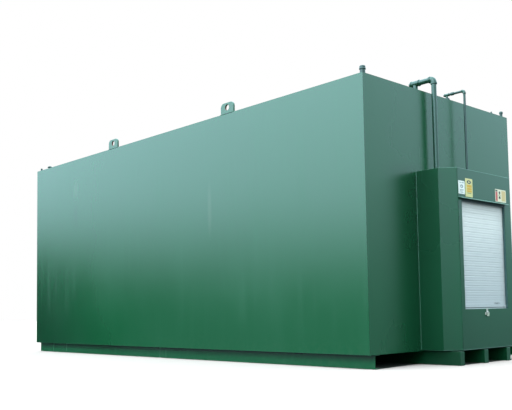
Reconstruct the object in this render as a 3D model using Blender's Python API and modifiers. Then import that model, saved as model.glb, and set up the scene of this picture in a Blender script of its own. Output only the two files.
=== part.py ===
"""Bunded fuel tank: a welded steel box tank on skids, with a shutter cabinet at one end.

The numbers below are measured from the near-left bottom corner of the tank's walls: x runs
along the end wall that carries the cabinet, y runs along the tank away from the cabinet,
and z runs up from the walls' bottom edge. The part's origin is the middle of its footprint,
on the ground.
"""
import bpy
import bmesh
from math import cos, pi, radians, sin, sqrt
from mathutils import Vector

# Clearance between pieces that touch, and the distance that welds loose corners together
GAP = 0.0003
WELD = 0.00001

# Heights are taken from a level this far above the ground
DATUM_HEIGHT = 0.14

# Tank shell
LENGTH = 7.40
WIDTH = 3.00
SHELL_BOTTOM = 0.010
WALL_HEIGHT = 3.00
PLATE = 0.006

# Skid runners: channels under the tank
SKID_WIDTH = 0.08
SKID_WEB = 0.008
SKID_RECESS = 0.08
CENTRE_SKID_PITCH = 0.49
CENTRE_SKID_REACH = 0.46
CENTRE_SKIDS = 3

# Lifting lugs, in the plane of the long walls
LUG_WIDTH = 0.25
LUG_HEIGHT = 0.14
LUG_PLATE = 0.025
LUG_CORNER = 0.06
LUG_EYE_RADIUS = 0.0375
LUG_EYE_HEIGHT = 0.078
LUG_NEAR = 2.225
LUG_FAR = 4.92

# Small fittings on the roof: where they stand, and their sizes
CORNER_STUB_AT = (0.075, 0.06)
STUB_RADIUS = 0.030
STUB_NECK = 0.055
STUB_CAP_RADIUS = 0.037
STUB_CAP_HEIGHT = 0.045
RIGHT_STUB_AT = (2.96, 0.06)
RIGHT_STUB_RADIUS = 0.019
RIGHT_STUB_NECK = 0.055
RIGHT_STUB_CAP_RADIUS = 0.0245
RIGHT_STUB_HEIGHT = 0.090
PLUG_AT = (2.71, 0.06)
PLUG_RADIUS = 0.014
PLUG_HEIGHT = 0.045
POST_AT = (0.05, 7.34)
POST_RADIUS = 0.016
POST_HEIGHT = 0.050
VENT_AT = (0.185, 7.30)
VENT_NECK_RADIUS = 0.014
VENT_NECK = 0.080
VENT_CAP_RADIUS = 0.040
VENT_CAP_TOP_RADIUS = 0.024
VENT_CAP = 0.025
VENT_CAP_RIM = 0.010
CAP_CHAMFER = 0.006

# Large pipe: up from the cabinet, over the wall and down into the roof
LARGE_X = 1.203
LARGE_STANDOFF = 0.077
LARGE_AXIS_HEIGHT = 3.147
LARGE_DROP_AT = 0.182
LARGE_TEE_END = 0.081
LARGE_RADIUS = 0.030
LARGE_BEND = 0.040
LARGE_BODY = 0.034
LARGE_COLLAR = 0.039
LARGE_COLLAR_LENGTH = 0.022
LARGE_TEE_COLLAR = 0.014
LARGE_PLUG = (0.022, 0.024)
NOZZLE_RADIUS = 0.030
NOZZLE_PAD_RADIUS = 0.050
NOZZLE_PAD = 0.008

# Thin pipe: the same route, beside it
THIN_X = 1.815
THIN_STANDOFF = 0.10
THIN_AXIS_HEIGHT = 3.119
THIN_DROP_AT = 0.148
THIN_TEE_END = 0.045
THIN_PLUG = (0.012, 0.014)
THIN_RADIUS = 0.0145
THIN_BEND = 0.023
THIN_BODY = 0.0170
THIN_COLLAR = 0.0200
THIN_COLLAR_LENGTH = 0.014
THIN_TEE_COLLAR = 0.008
THIN_BRANCH = 0.0140
BOSS_RADIUS = 0.034
COUPLING_RADIUS = 0.0200
COUPLING_LENGTH = 0.040
COUPLING_AT = 0.070

# Cabinet on the near end wall
CABINET_LEFT = 0.907
CABINET_WIDTH = 1.435
CABINET_DEPTH = 0.445
CABINET_BOTTOM = 0.020
CABINET_HEIGHT = 2.035
CABINET_CHAMFER = 0.150
SHEET = 0.004

# Shutter opening in the cabinet's front
OPENING_LEFT = 1.126
OPENING_RIGHT = 2.048
OPENING_BOTTOM = 0.467
OPENING_TOP = 1.70
CURTAIN_SETBACK = 0.040
CURTAIN_BACK = 0.004
SLAT_PITCH = 0.055
SLAT_CROWN = 0.006
SLAT_STEPS = 6
SLAT_FULLNESS = 0.7
SLATS = 22
BAR_HEIGHT = 0.040
BAR_DEPTH = 0.026
BAR_LIP = 0.010
BAR_SLOT = 0.008
BAR_SLOT_DEPTH = 0.010
GUIDE_WIDTH = 0.030
GUIDE_DEPTH = 0.050
GUIDE_WEB = 0.004
GUIDE_PLAY = 0.002
CURTAIN_OVERLAP = 0.022
HEAD_BOTTOM = 1.667
HEAD_DEPTH = 0.018
SILL_HEIGHT = 0.012

# Sloping rain hood over the shutter
HOOD_RIGHT = 2.095
HOOD_TOP = 1.714
HOOD_REACH = 0.050
HOOD_DROP = 0.019
HOOD_SHEET = 0.0045
HOOD_ROOT = 0.006

# Hasp and padlock under the shutter
HASP_X = 1.570
HASP_TOP = 0.472
HASP_LENGTH = 0.075
HASP_WIDTH = 0.036
HASP_PLATE = 0.004
HASP_ARM = 0.088
HASP_ARM_HEIGHT = 0.034
STAPLE_X = 1.564
STAPLE_Z = 0.428
STAPLE_RADIUS = 0.004
STAPLE_REACH = 0.024
SHACKLE_RADIUS = 0.010
SHACKLE_WIRE = 0.004
SHACKLE_LEG = 0.006
SHACKLE_SUNK = 0.004
SHACKLE_STEPS = 10
LOCK_WIDTH = 0.032
LOCK_HEIGHT = 0.038
LOCK_DEPTH = 0.016
LOCK_BEVEL = 0.002

# Sign plates above the hood: left edge, right edge, bottom, top
SIGN_SHEET = 0.002
WHITE_SIGN = (1.066, 1.194, 1.745, 1.893)
YELLOW_SIGN = (1.206, 1.355, 1.723, 1.932)
RED_SIGN = (1.846, 2.090, 1.7235, 1.873)

TURN_STEPS = 24
ARC_STEPS = 8
BEND_STEP = 15

# How sharply a pipe fitting steps down from its collar
COLLAR_EDGE = 0.0006

FRONT_REACH = CABINET_DEPTH + HOOD_REACH
CABINET_RIGHT = CABINET_LEFT + CABINET_WIDTH
FRONT_LEFT = CABINET_LEFT + CABINET_CHAMFER
FRONT_RIGHT = CABINET_RIGHT - CABINET_CHAMFER
FRONT_Y = -CABINET_DEPTH
BEHIND_FRONT = FRONT_Y + SHEET + GAP
CURTAIN_Y = FRONT_Y + CURTAIN_SETBACK


def clear_scene():
    for obj in list(bpy.data.objects):
        bpy.data.objects.remove(obj, do_unlink=True)


def make_material(name, colour, roughness, metallic=0.0):
    material = bpy.data.materials.new(name)
    material.use_nodes = True
    shader = material.node_tree.nodes["Principled BSDF"]
    shader.inputs["Base Color"].default_value = (*colour, 1.0)
    shader.inputs["Roughness"].default_value = roughness
    shader.inputs["Metallic"].default_value = metallic
    return material


def make_collection(name):
    collection = bpy.data.collections.new(name)
    bpy.context.scene.collection.children.link(collection)
    return collection


def adopt(name, data, material, location=(0, 0, 0), rotation=(0, 0, 0)):
    """Put a mesh or a curve in the part, measured from the walls' near-left corner."""
    obj = bpy.data.objects.new(name, data)
    data.materials.append(material)
    PARTS.objects.link(obj)
    obj.parent = CORNER
    obj.location = location
    obj.rotation_euler = rotation
    return obj


def box(name, low, high, material, bevel=0.0):
    low = Vector(low)
    high = Vector(high)
    mesh = bpy.data.meshes.new(name)
    solid = bmesh.new()
    bmesh.ops.create_cube(solid, size=1.0)
    bmesh.ops.scale(solid, vec=high - low, verts=solid.verts)
    solid.to_mesh(mesh)
    solid.free()
    obj = adopt(name, mesh, material, (low + high) / 2)
    if bevel:
        round_edges(obj, bevel)
    return obj


def round_edges(obj, width):
    modifier = obj.modifiers.new("Rounded edges", "BEVEL")
    modifier.width = width
    modifier.segments = 2
    modifier.limit_method = "ANGLE"


def rod(name, start, end, radius, material):
    """A straight round bar or pipe between two points."""
    curve = tube_curve(name, [start, end], [1.0, 1.0], radius)
    return adopt(name, curve, material)


def tube_curve(name, points, radii, radius):
    curve = bpy.data.curves.new(name, "CURVE")
    curve.dimensions = "3D"
    curve.bevel_depth = radius
    curve.bevel_resolution = 4
    curve.use_fill_caps = True
    spline = curve.splines.new("POLY")
    spline.points.add(len(points) - 1)
    for point, place, scale in zip(spline.points, points, radii):
        point.co = (*place, 1.0)
        point.radius = scale
    return curve


def outline_solid(name, outlines, depth, material, location, rotation=(0, 0, 0)):
    """A flat outline, and any holes after it, given a thickness either side of its plane."""
    curve = bpy.data.curves.new(name, "CURVE")
    curve.dimensions = "2D"
    curve.fill_mode = "BOTH"
    curve.extrude = depth / 2
    for outline in outlines:
        spline = curve.splines.new("POLY")
        spline.points.add(len(outline) - 1)
        spline.use_cyclic_u = True
        for point, (across, up) in zip(spline.points, outline):
            point.co = (across, up, 0.0, 1.0)
    return adopt(name, curve, material, location, rotation)


def along_x(name, outlines, x_start, x_end, material):
    """An outline in the y-z plane, run along x."""
    middle = (x_start + x_end) / 2
    return outline_solid(name, outlines, x_end - x_start, material, (middle, 0, 0), (pi / 2, 0, pi / 2))


def along_y(name, outlines, y_start, y_end, material):
    """An outline in the x-z plane, run along y."""
    middle = (y_start + y_end) / 2
    return outline_solid(name, outlines, y_end - y_start, material, (0, middle, 0), (pi / 2, 0, 0))


def along_z(name, outlines, z_start, z_end, material):
    """An outline in the x-y plane, run up z."""
    middle = (z_start + z_end) / 2
    return outline_solid(name, outlines, z_end - z_start, material, (0, 0, middle))


def turned(name, profile, at, base, material):
    """A turned piece: its profile is (radius, height) from the top of the axis to the bottom."""
    mesh = bpy.data.meshes.new(name)
    points = [(radius, 0, height) for radius, height in profile]
    edges = [(index, index + 1) for index in range(len(points) - 1)]
    mesh.from_pydata(points, edges, [])
    obj = adopt(name, mesh, material, (*at, base))
    screw = obj.modifiers.new("Turned", "SCREW")
    screw.steps = TURN_STEPS
    screw.render_steps = TURN_STEPS
    screw.use_merge_vertices = True
    screw.merge_threshold = 0.0001
    screw.use_smooth_shade = True
    return obj


def union(base, tool):
    """Fuse a helper solid into a piece; the helper isn't a piece of its own."""
    for holder in list(tool.users_collection):
        holder.objects.unlink(tool)
    CUTTERS.objects.link(tool)
    tool.hide_render = True
    tool.display_type = "WIRE"
    modifier = base.modifiers.new("Fused " + tool.name, "BOOLEAN")
    modifier.operation = "UNION"
    modifier.object = tool


def as_mesh(obj):
    """Replace a curve by its mesh, with the caps welded, so that it can be fused."""
    bpy.context.view_layer.update()
    evaluated = obj.evaluated_get(bpy.context.evaluated_depsgraph_get())
    mesh = bpy.data.meshes.new_from_object(evaluated)
    solid = bmesh.new()
    solid.from_mesh(mesh)
    bmesh.ops.remove_doubles(solid, verts=solid.verts, dist=WELD)
    solid.to_mesh(mesh)
    solid.free()
    name = obj.name
    place = obj.matrix_world.copy()
    bpy.data.objects.remove(obj, do_unlink=True)
    replacement = bpy.data.objects.new(name, mesh)
    PARTS.objects.link(replacement)
    replacement.matrix_world = place
    return replacement


def rectangle(left, right, bottom, top):
    return [(left, bottom), (right, bottom), (right, top), (left, top)]


def arc(centre, radius, start, end, steps=ARC_STEPS):
    """Points on an arc, from one angle to another, in degrees."""
    points = []
    for step in range(steps + 1):
        angle = radians(start + (end - start) * step / steps)
        points.append((centre[0] + radius * cos(angle), centre[1] + radius * sin(angle)))
    return points


def make_shell():
    inner = PLATE + GAP
    box("left_wall", (0, 0, SHELL_BOTTOM), (PLATE, LENGTH, WALL_HEIGHT), GREEN)
    box("right_wall", (WIDTH - PLATE, 0, SHELL_BOTTOM), (WIDTH, LENGTH, WALL_HEIGHT), GREEN)
    box("near_end_wall", (inner, 0, SHELL_BOTTOM), (WIDTH - inner, PLATE, WALL_HEIGHT), GREEN)
    box("far_end_wall", (inner, LENGTH - PLATE, SHELL_BOTTOM),
        (WIDTH - inner, LENGTH, WALL_HEIGHT), GREEN)
    box("roof_plate", (inner, inner, WALL_HEIGHT - PLATE),
        (WIDTH - inner, LENGTH - inner, WALL_HEIGHT), GREEN)
    box("base_plate", (inner, inner, SHELL_BOTTOM),
        (WIDTH - inner, LENGTH - inner, SHELL_BOTTOM + PLATE), GREEN)


def channel(left, opens_right):
    """A channel's outline under the tank, its web on one side."""
    bottom = -DATUM_HEIGHT
    top = SHELL_BOTTOM - GAP
    outline = [
        (0, bottom),
        (SKID_WIDTH, bottom),
        (SKID_WIDTH, bottom + SKID_WEB),
        (SKID_WEB, bottom + SKID_WEB),
        (SKID_WEB, top - SKID_WEB),
        (SKID_WIDTH, top - SKID_WEB),
        (SKID_WIDTH, top),
        (0, top),
    ]
    if opens_right:
        return [(left + across, up) for across, up in outline]
    return [(left + SKID_WIDTH - across, up) for across, up in reversed(outline)]


def make_skids():
    along_y("skid_left", [channel(SKID_RECESS, True)], 0, LENGTH, GREEN)
    right = WIDTH - SKID_RECESS - SKID_WIDTH
    along_y("skid_right", [channel(right, False)], 0, LENGTH, GREEN)
    for index in range(CENTRE_SKIDS):
        middle = WIDTH / 2 + (index - (CENTRE_SKIDS - 1) / 2) * CENTRE_SKID_PITCH
        left = middle - SKID_WIDTH / 2
        low = (left, -CENTRE_SKID_REACH, -DATUM_HEIGHT)
        high = (left + SKID_WIDTH, LENGTH, SHELL_BOTTOM - GAP)
        box("skid_centre_%d" % (index + 1), low, high, GREEN)


def make_lug(name, x_start, y_middle):
    half = LUG_WIDTH / 2
    shoulder = half - LUG_CORNER
    rise = LUG_HEIGHT - LUG_CORNER
    outline = [(-half, 0), (half, 0)]
    outline += arc((shoulder, rise), LUG_CORNER, 0, 90)
    outline += arc((-shoulder, rise), LUG_CORNER, 90, 180)
    eye = arc((0, LUG_EYE_HEIGHT), LUG_EYE_RADIUS, 360, 360 / TURN_STEPS, TURN_STEPS - 1)
    place = (x_start + LUG_PLATE / 2, y_middle, WALL_HEIGHT + GAP)
    outline_solid(name, [outline, eye], LUG_PLATE, GREEN, place, (pi / 2, 0, pi / 2))


def make_lugs():
    for side, x_start in (("left", 0), ("right", WIDTH - LUG_PLATE)):
        for end, y_middle in (("near", LUG_NEAR), ("far", LUG_FAR)):
            make_lug("lifting_lug_%s_%s" % (side, end), x_start, y_middle)


def make_roof_fittings():
    roof = WALL_HEIGHT + GAP
    turned("corner_stub", [(0, STUB_NECK), (STUB_RADIUS, STUB_NECK), (STUB_RADIUS, 0), (0, 0)],
           CORNER_STUB_AT, roof, DARK_GREEN)
    cap = [
        (0, STUB_CAP_HEIGHT),
        (STUB_CAP_RADIUS - CAP_CHAMFER, STUB_CAP_HEIGHT),
        (STUB_CAP_RADIUS, STUB_CAP_HEIGHT - CAP_CHAMFER),
        (STUB_CAP_RADIUS, 0),
        (0, 0),
    ]
    turned("corner_stub_cap", cap, CORNER_STUB_AT, roof + STUB_NECK + GAP, DARK_GREEN)
    right_stub = [
        (0, RIGHT_STUB_HEIGHT),
        (RIGHT_STUB_CAP_RADIUS - CAP_CHAMFER, RIGHT_STUB_HEIGHT),
        (RIGHT_STUB_CAP_RADIUS, RIGHT_STUB_HEIGHT - CAP_CHAMFER),
        (RIGHT_STUB_CAP_RADIUS, RIGHT_STUB_NECK),
        (RIGHT_STUB_RADIUS, RIGHT_STUB_NECK),
        (RIGHT_STUB_RADIUS, 0),
        (0, 0),
    ]
    turned("right_corner_stub", right_stub, RIGHT_STUB_AT, roof, DARK_GREEN)
    turned("roof_plug", [(0, PLUG_HEIGHT), (PLUG_RADIUS, PLUG_HEIGHT), (PLUG_RADIUS, 0), (0, 0)],
           PLUG_AT, roof, DARK_GREEN)
    turned("corner_post", [(0, POST_HEIGHT), (POST_RADIUS, POST_HEIGHT), (POST_RADIUS, 0), (0, 0)],
           POST_AT, roof, DARK_GREEN)
    vent = [
        (0, VENT_NECK + VENT_CAP),
        (VENT_CAP_TOP_RADIUS, VENT_NECK + VENT_CAP),
        (VENT_CAP_RADIUS, VENT_NECK + VENT_CAP_RIM),
        (VENT_CAP_RADIUS, VENT_NECK),
        (VENT_NECK_RADIUS, VENT_NECK),
        (VENT_NECK_RADIUS, 0),
        (0, 0),
    ]
    turned("mushroom_vent", vent, VENT_AT, roof, DARK_GREEN)


def elbow(name, x, y_upright, z_level, towards, bend, body, collar, collar_length):
    """A screwed elbow: a collar on the upright, a bend, and a collar on the level pipe.

    towards is +1 when the level leg runs away along y from the upright, and -1 when it
    runs back.
    """
    centre = (y_upright + towards * bend, z_level - bend)
    places = [
        (y_upright, centre[1] - collar_length),
        (y_upright, centre[1] - COLLAR_EDGE),
        (y_upright, centre[1]),
    ]
    scales = [collar, collar, body]
    for angle in range(BEND_STEP, 90, BEND_STEP):
        turn = radians(180 - angle)
        places.append((centre[0] + towards * bend * cos(turn), centre[1] + bend * sin(turn)))
        scales.append(body)
    places += [(centre[0], z_level), (centre[0] + towards * COLLAR_EDGE, z_level)]
    places.append((centre[0] + towards * collar_length, z_level))
    scales += [body, collar, collar]
    points = [(x, y, z) for y, z in places]
    curve = tube_curve(name, points, [scale / collar for scale in scales], collar)
    adopt(name, curve, GREEN)


def tee(name, x, y_drop, z_level, reach, end, body, collar, collar_length, branch, plug):
    """A screwed tee: it takes the level pipe, drops a branch, and is plugged at its far end.

    plug is the radius and length of the plug that stands out of the far end.
    """
    near = y_drop - reach
    far = y_drop + end - plug[1]
    line = [
        (near, collar),
        (near + collar_length, collar),
        (near + collar_length + COLLAR_EDGE, body),
        (far - collar_length - COLLAR_EDGE, body),
        (far - collar_length, collar),
        (far, collar),
        (far + COLLAR_EDGE, plug[0]),
        (y_drop + end, plug[0]),
    ]
    points = [(x, y, z_level) for y, _ in line]
    curve = tube_curve(name, points, [radius / collar for _, radius in line], collar)
    level = as_mesh(adopt(name, curve, GREEN))
    leg = rod(name + "_branch", (x, y_drop, z_level - reach), (x, y_drop, z_level), branch, GREEN)
    union(level, as_mesh(leg))


def make_large_pipe():
    reach = LARGE_BEND + LARGE_COLLAR_LENGTH
    upright = -LARGE_STANDOFF
    under_elbow = LARGE_AXIS_HEIGHT - reach
    rod("large_riser", (LARGE_X, upright, CABINET_HEIGHT + GAP), (LARGE_X, upright, under_elbow - GAP),
        LARGE_RADIUS, GREEN)
    elbow("large_front_elbow", LARGE_X, upright, LARGE_AXIS_HEIGHT, 1,
          LARGE_BEND, LARGE_BODY, LARGE_COLLAR, LARGE_COLLAR_LENGTH)
    rod("large_run", (LARGE_X, upright + reach + GAP, LARGE_AXIS_HEIGHT),
        (LARGE_X, LARGE_DROP_AT - reach - GAP, LARGE_AXIS_HEIGHT), LARGE_RADIUS, GREEN)
    tee("large_rear_tee", LARGE_X, LARGE_DROP_AT, LARGE_AXIS_HEIGHT, reach, LARGE_TEE_END,
        LARGE_BODY, LARGE_COLLAR, LARGE_TEE_COLLAR, NOZZLE_RADIUS, LARGE_PLUG)
    top = under_elbow - GAP - WALL_HEIGHT - GAP
    nozzle = [
        (0, top),
        (NOZZLE_RADIUS, top),
        (NOZZLE_RADIUS, NOZZLE_PAD),
        (NOZZLE_PAD_RADIUS, NOZZLE_PAD),
        (NOZZLE_PAD_RADIUS, 0),
        (0, 0),
    ]
    turned("large_nozzle", nozzle, (LARGE_X, LARGE_DROP_AT), WALL_HEIGHT + GAP, GREEN)


def make_thin_pipe():
    reach = THIN_BEND + THIN_COLLAR_LENGTH
    upright = -THIN_STANDOFF
    under_elbow = THIN_AXIS_HEIGHT - reach
    rod("thin_riser", (THIN_X, upright, CABINET_HEIGHT + GAP), (THIN_X, upright, under_elbow - GAP),
        THIN_RADIUS, DARK_GREEN)
    elbow("thin_front_elbow", THIN_X, upright, THIN_AXIS_HEIGHT, 1,
          THIN_BEND, THIN_BODY, THIN_COLLAR, THIN_COLLAR_LENGTH)
    rod("thin_run", (THIN_X, upright + reach + GAP, THIN_AXIS_HEIGHT),
        (THIN_X, THIN_DROP_AT - reach - GAP, THIN_AXIS_HEIGHT), THIN_RADIUS, DARK_GREEN)
    bore = THIN_RADIUS + GAP
    ring = [arc((0, 0), COUPLING_RADIUS, 0, 360 - 360 / TURN_STEPS, TURN_STEPS - 1)]
    ring.append(arc((0, 0), bore, 360, 360 / TURN_STEPS, TURN_STEPS - 1))
    outline_solid("thin_coupling", ring, COUPLING_LENGTH, DARK_GREEN,
                  (THIN_X, COUPLING_AT, THIN_AXIS_HEIGHT), (pi / 2, 0, 0))
    tee("thin_rear_tee", THIN_X, THIN_DROP_AT, THIN_AXIS_HEIGHT, reach, THIN_TEE_END,
        THIN_BODY, THIN_COLLAR, THIN_TEE_COLLAR, THIN_BRANCH, THIN_PLUG)
    top = under_elbow - GAP - WALL_HEIGHT - GAP
    turned("thin_boss", [(0, top), (BOSS_RADIUS, top), (BOSS_RADIUS, 0), (0, 0)],
           (THIN_X, THIN_DROP_AT), WALL_HEIGHT + GAP, DARK_GREEN)


def bent_side(mirrored):
    """The plan of one cabinet side and its corner chamfer, folded from one sheet."""
    straight = -(CABINET_DEPTH - CABINET_CHAMFER)
    end_y = FRONT_Y + SHEET + GAP
    run = straight - end_y
    slant = SHEET * sqrt(2)
    outline = [
        (0, -GAP),
        (0, straight),
        (run, end_y),
        (run + slant, end_y),
        (SHEET, straight + slant - SHEET),
        (SHEET, -GAP),
    ]
    if mirrored:
        return [(CABINET_RIGHT - across, y) for across, y in reversed(outline)]
    return [(CABINET_LEFT + across, y) for across, y in outline]


def cabinet_plan():
    straight = -(CABINET_DEPTH - CABINET_CHAMFER)
    return [
        (CABINET_LEFT, -GAP),
        (CABINET_LEFT, straight),
        (FRONT_LEFT, FRONT_Y),
        (FRONT_RIGHT, FRONT_Y),
        (CABINET_RIGHT, straight),
        (CABINET_RIGHT, -GAP),
    ]


def make_cabinet():
    bottom = CABINET_BOTTOM + SHEET + GAP
    top = CABINET_HEIGHT - SHEET - GAP
    along_z("cabinet_left_side", [bent_side(False)], bottom, top, GREEN)
    along_z("cabinet_right_side", [bent_side(True)], bottom, top, GREEN)
    panel = rectangle(FRONT_LEFT, FRONT_RIGHT, bottom, top)
    hole = rectangle(OPENING_LEFT, OPENING_RIGHT, OPENING_BOTTOM, OPENING_TOP)
    along_y("cabinet_front", [panel, hole], FRONT_Y, FRONT_Y + SHEET, GREEN)
    along_z("cabinet_roof", [cabinet_plan()], CABINET_HEIGHT - SHEET, CABINET_HEIGHT, GREEN)
    along_z("cabinet_floor", [cabinet_plan()], CABINET_BOTTOM, CABINET_BOTTOM + SHEET, GREEN)


def make_hood():
    root = FRONT_Y - GAP
    lip = FRONT_Y - HOOD_REACH
    bottom = HOOD_TOP - HOOD_DROP
    profile = [
        (root, HOOD_TOP),
        (root, HOOD_TOP - HOOD_ROOT),
        (lip, bottom - HOOD_SHEET),
        (lip, bottom),
    ]
    along_x("rain_hood", [profile], FRONT_LEFT, HOOD_RIGHT, GREEN)


def curtain_profile(bottom):
    """The curtain from the side: a flat back and one crowned face for each slat."""
    outline = [(CURTAIN_Y + CURTAIN_BACK, bottom), (CURTAIN_Y + CURTAIN_BACK, bottom + SLATS * SLAT_PITCH)]
    for slat in reversed(range(SLATS)):
        for step in range(SLAT_STEPS):
            share = 1 - step / SLAT_STEPS
            crown = SLAT_CROWN * sin(pi * share) ** SLAT_FULLNESS
            outline.append((CURTAIN_Y - crown, bottom + (slat + share) * SLAT_PITCH))
    outline.append((CURTAIN_Y, bottom))
    return outline


def guide_outline(mirrored):
    """A guide from above: a channel that holds the curtain's edge."""
    front = BEHIND_FRONT
    back = front + GUIDE_DEPTH
    slot_front = CURTAIN_Y - SLAT_CROWN - GUIDE_PLAY
    slot_back = CURTAIN_Y + CURTAIN_BACK + GUIDE_PLAY
    slot_end = -GUIDE_WIDTH + GUIDE_WEB
    outline = [
        (0, front),
        (0, slot_front),
        (slot_end, slot_front),
        (slot_end, slot_back),
        (0, slot_back),
        (0, back),
        (-GUIDE_WIDTH, back),
        (-GUIDE_WIDTH, front),
    ]
    if mirrored:
        return [(OPENING_RIGHT - across, y) for across, y in reversed(outline)]
    return [(OPENING_LEFT + across, y) for across, y in outline]


def make_shutter():
    bar_bottom = OPENING_BOTTOM + GAP
    curtain_bottom = bar_bottom + BAR_HEIGHT + GAP
    curtain_top = curtain_bottom + SLATS * SLAT_PITCH
    along_x("shutter_curtain", [curtain_profile(curtain_bottom)],
            OPENING_LEFT - CURTAIN_OVERLAP, OPENING_RIGHT + CURTAIN_OVERLAP, WHITE)
    bar_front = CURTAIN_Y - BAR_DEPTH / 2
    bar_back = CURTAIN_Y + BAR_DEPTH / 2
    slot_bottom = bar_bottom + BAR_LIP
    slot_top = slot_bottom + BAR_SLOT
    bar = [
        (bar_back, bar_bottom),
        (bar_back, bar_bottom + BAR_HEIGHT),
        (bar_front, bar_bottom + BAR_HEIGHT),
        (bar_front, slot_top),
        (bar_front + BAR_SLOT_DEPTH, slot_top),
        (bar_front + BAR_SLOT_DEPTH, slot_bottom),
        (bar_front, slot_bottom),
        (bar_front, bar_bottom),
    ]
    along_x("shutter_bottom_bar", [bar], OPENING_LEFT + GAP, OPENING_RIGHT - GAP, WHITE)
    along_z("guide_left", [guide_outline(False)], OPENING_BOTTOM, curtain_top, GREEN)
    along_z("guide_right", [guide_outline(True)], OPENING_BOTTOM, curtain_top, GREEN)
    box("shutter_head", (OPENING_LEFT + GAP, BEHIND_FRONT, HEAD_BOTTOM),
        (OPENING_RIGHT - GAP, BEHIND_FRONT + HEAD_DEPTH, curtain_top), DARK_GREEN)
    box("shutter_sill", (OPENING_LEFT - GUIDE_WIDTH, BEHIND_FRONT, OPENING_BOTTOM - SILL_HEIGHT),
        (OPENING_RIGHT + GUIDE_WIDTH, BEHIND_FRONT + GUIDE_DEPTH, OPENING_BOTTOM - GAP), GREEN)


def make_lock():
    face = FRONT_Y - GAP
    front = face - HASP_PLATE
    strap_left = HASP_X - HASP_WIDTH / 2
    strap_right = HASP_X + HASP_WIDTH / 2
    arm_left = HASP_X - HASP_ARM / 2
    arm_right = HASP_X + HASP_ARM / 2
    bottom = HASP_TOP - HASP_LENGTH
    arm_top = bottom + HASP_ARM_HEIGHT
    outline = [
        (arm_left, bottom),
        (arm_right, bottom),
        (arm_right, arm_top),
        (strap_right, arm_top),
        (strap_right, HASP_TOP),
        (strap_left, HASP_TOP),
        (strap_left, arm_top),
        (arm_left, arm_top),
    ]
    hasp = as_mesh(along_y("lock_hasp", [outline], front, face, ZINC))
    sunk = HASP_PLATE / 2
    staple = rod("staple_pin", (STAPLE_X, front + sunk, STAPLE_Z),
                 (STAPLE_X, front - STAPLE_REACH, STAPLE_Z), STAPLE_RADIUS, ZINC)
    union(hasp, as_mesh(staple))

    wire_y = front - STAPLE_REACH / 2
    hang = STAPLE_Z + STAPLE_RADIUS + GAP - (SHACKLE_RADIUS - SHACKLE_WIRE)
    body_top = hang - SHACKLE_LEG
    bow = arc((STAPLE_X, hang), SHACKLE_RADIUS, 180, 0, SHACKLE_STEPS)
    foot = body_top - SHACKLE_SUNK
    path = [(STAPLE_X - SHACKLE_RADIUS, foot)] + bow + [(STAPLE_X + SHACKLE_RADIUS, foot)]
    points = [(x, wire_y, z) for x, z in path]
    curve = tube_curve("shackle", points, [1.0] * len(points), SHACKLE_WIRE)
    shackle = as_mesh(adopt("shackle", curve, ZINC))
    half = LOCK_WIDTH / 2
    low = (STAPLE_X - half, wire_y - LOCK_DEPTH / 2, body_top - LOCK_HEIGHT)
    high = (STAPLE_X + half, wire_y + LOCK_DEPTH / 2, body_top)
    lock = box("padlock", low, high, BRASS, bevel=LOCK_BEVEL)
    union(lock, shackle)


def make_sign(name, edges, material):
    left, right, bottom, top = edges
    face = FRONT_Y - GAP
    box(name, (left, face - SIGN_SHEET, bottom), (right, face, top), material)


def make_signs():
    make_sign("sign_white", WHITE_SIGN, SIGN_WHITE)
    make_sign("sign_yellow", YELLOW_SIGN, SIGN_YELLOW)
    make_sign("sign_red", RED_SIGN, SIGN_RED)


clear_scene()
PARTS = make_collection("Bunded fuel tank")
CUTTERS = make_collection("Helpers")
CORNER = bpy.data.objects.new("near_left_corner", None)
PARTS.objects.link(CORNER)
CORNER.location = (-WIDTH / 2, (FRONT_REACH - LENGTH) / 2, DATUM_HEIGHT)

GREEN = make_material("green paint", (0.020, 0.130, 0.075), 0.28)
DARK_GREEN = make_material("dark green fittings", (0.014, 0.070, 0.045), 0.40)
WHITE = make_material("white shutter", (0.620, 0.700, 0.740), 0.45)
ZINC = make_material("zinc plate", (0.560, 0.600, 0.590), 0.45, 0.8)
BRASS = make_material("brass", (0.620, 0.520, 0.300), 0.40, 0.9)
SIGN_WHITE = make_material("white sign", (0.700, 0.760, 0.760), 0.35)
SIGN_YELLOW = make_material("yellow sign", (0.680, 0.560, 0.150), 0.35)
SIGN_RED = make_material("red sign", (0.700, 0.500, 0.400), 0.35)

make_shell()
make_skids()
make_lugs()
make_roof_fittings()
make_large_pipe()
make_thin_pipe()
make_cabinet()
make_hood()
make_shutter()
make_lock()
make_signs()
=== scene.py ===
"""The finish of a bunded fuel tank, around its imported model.

Plates with dressed weld seams, screwed pipe fittings, the shutter's slats, the lock and the
sign plates, with their paints, a pale floor and soft light. Everything is in metres: x runs
along the end wall that carries the cabinet, y runs along the tank away from the cabinet,
and z is up from the ground.
"""

from math import cos, pi, radians, sin, sqrt, tau

import bmesh
import bpy
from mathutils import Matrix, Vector, noise


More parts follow.
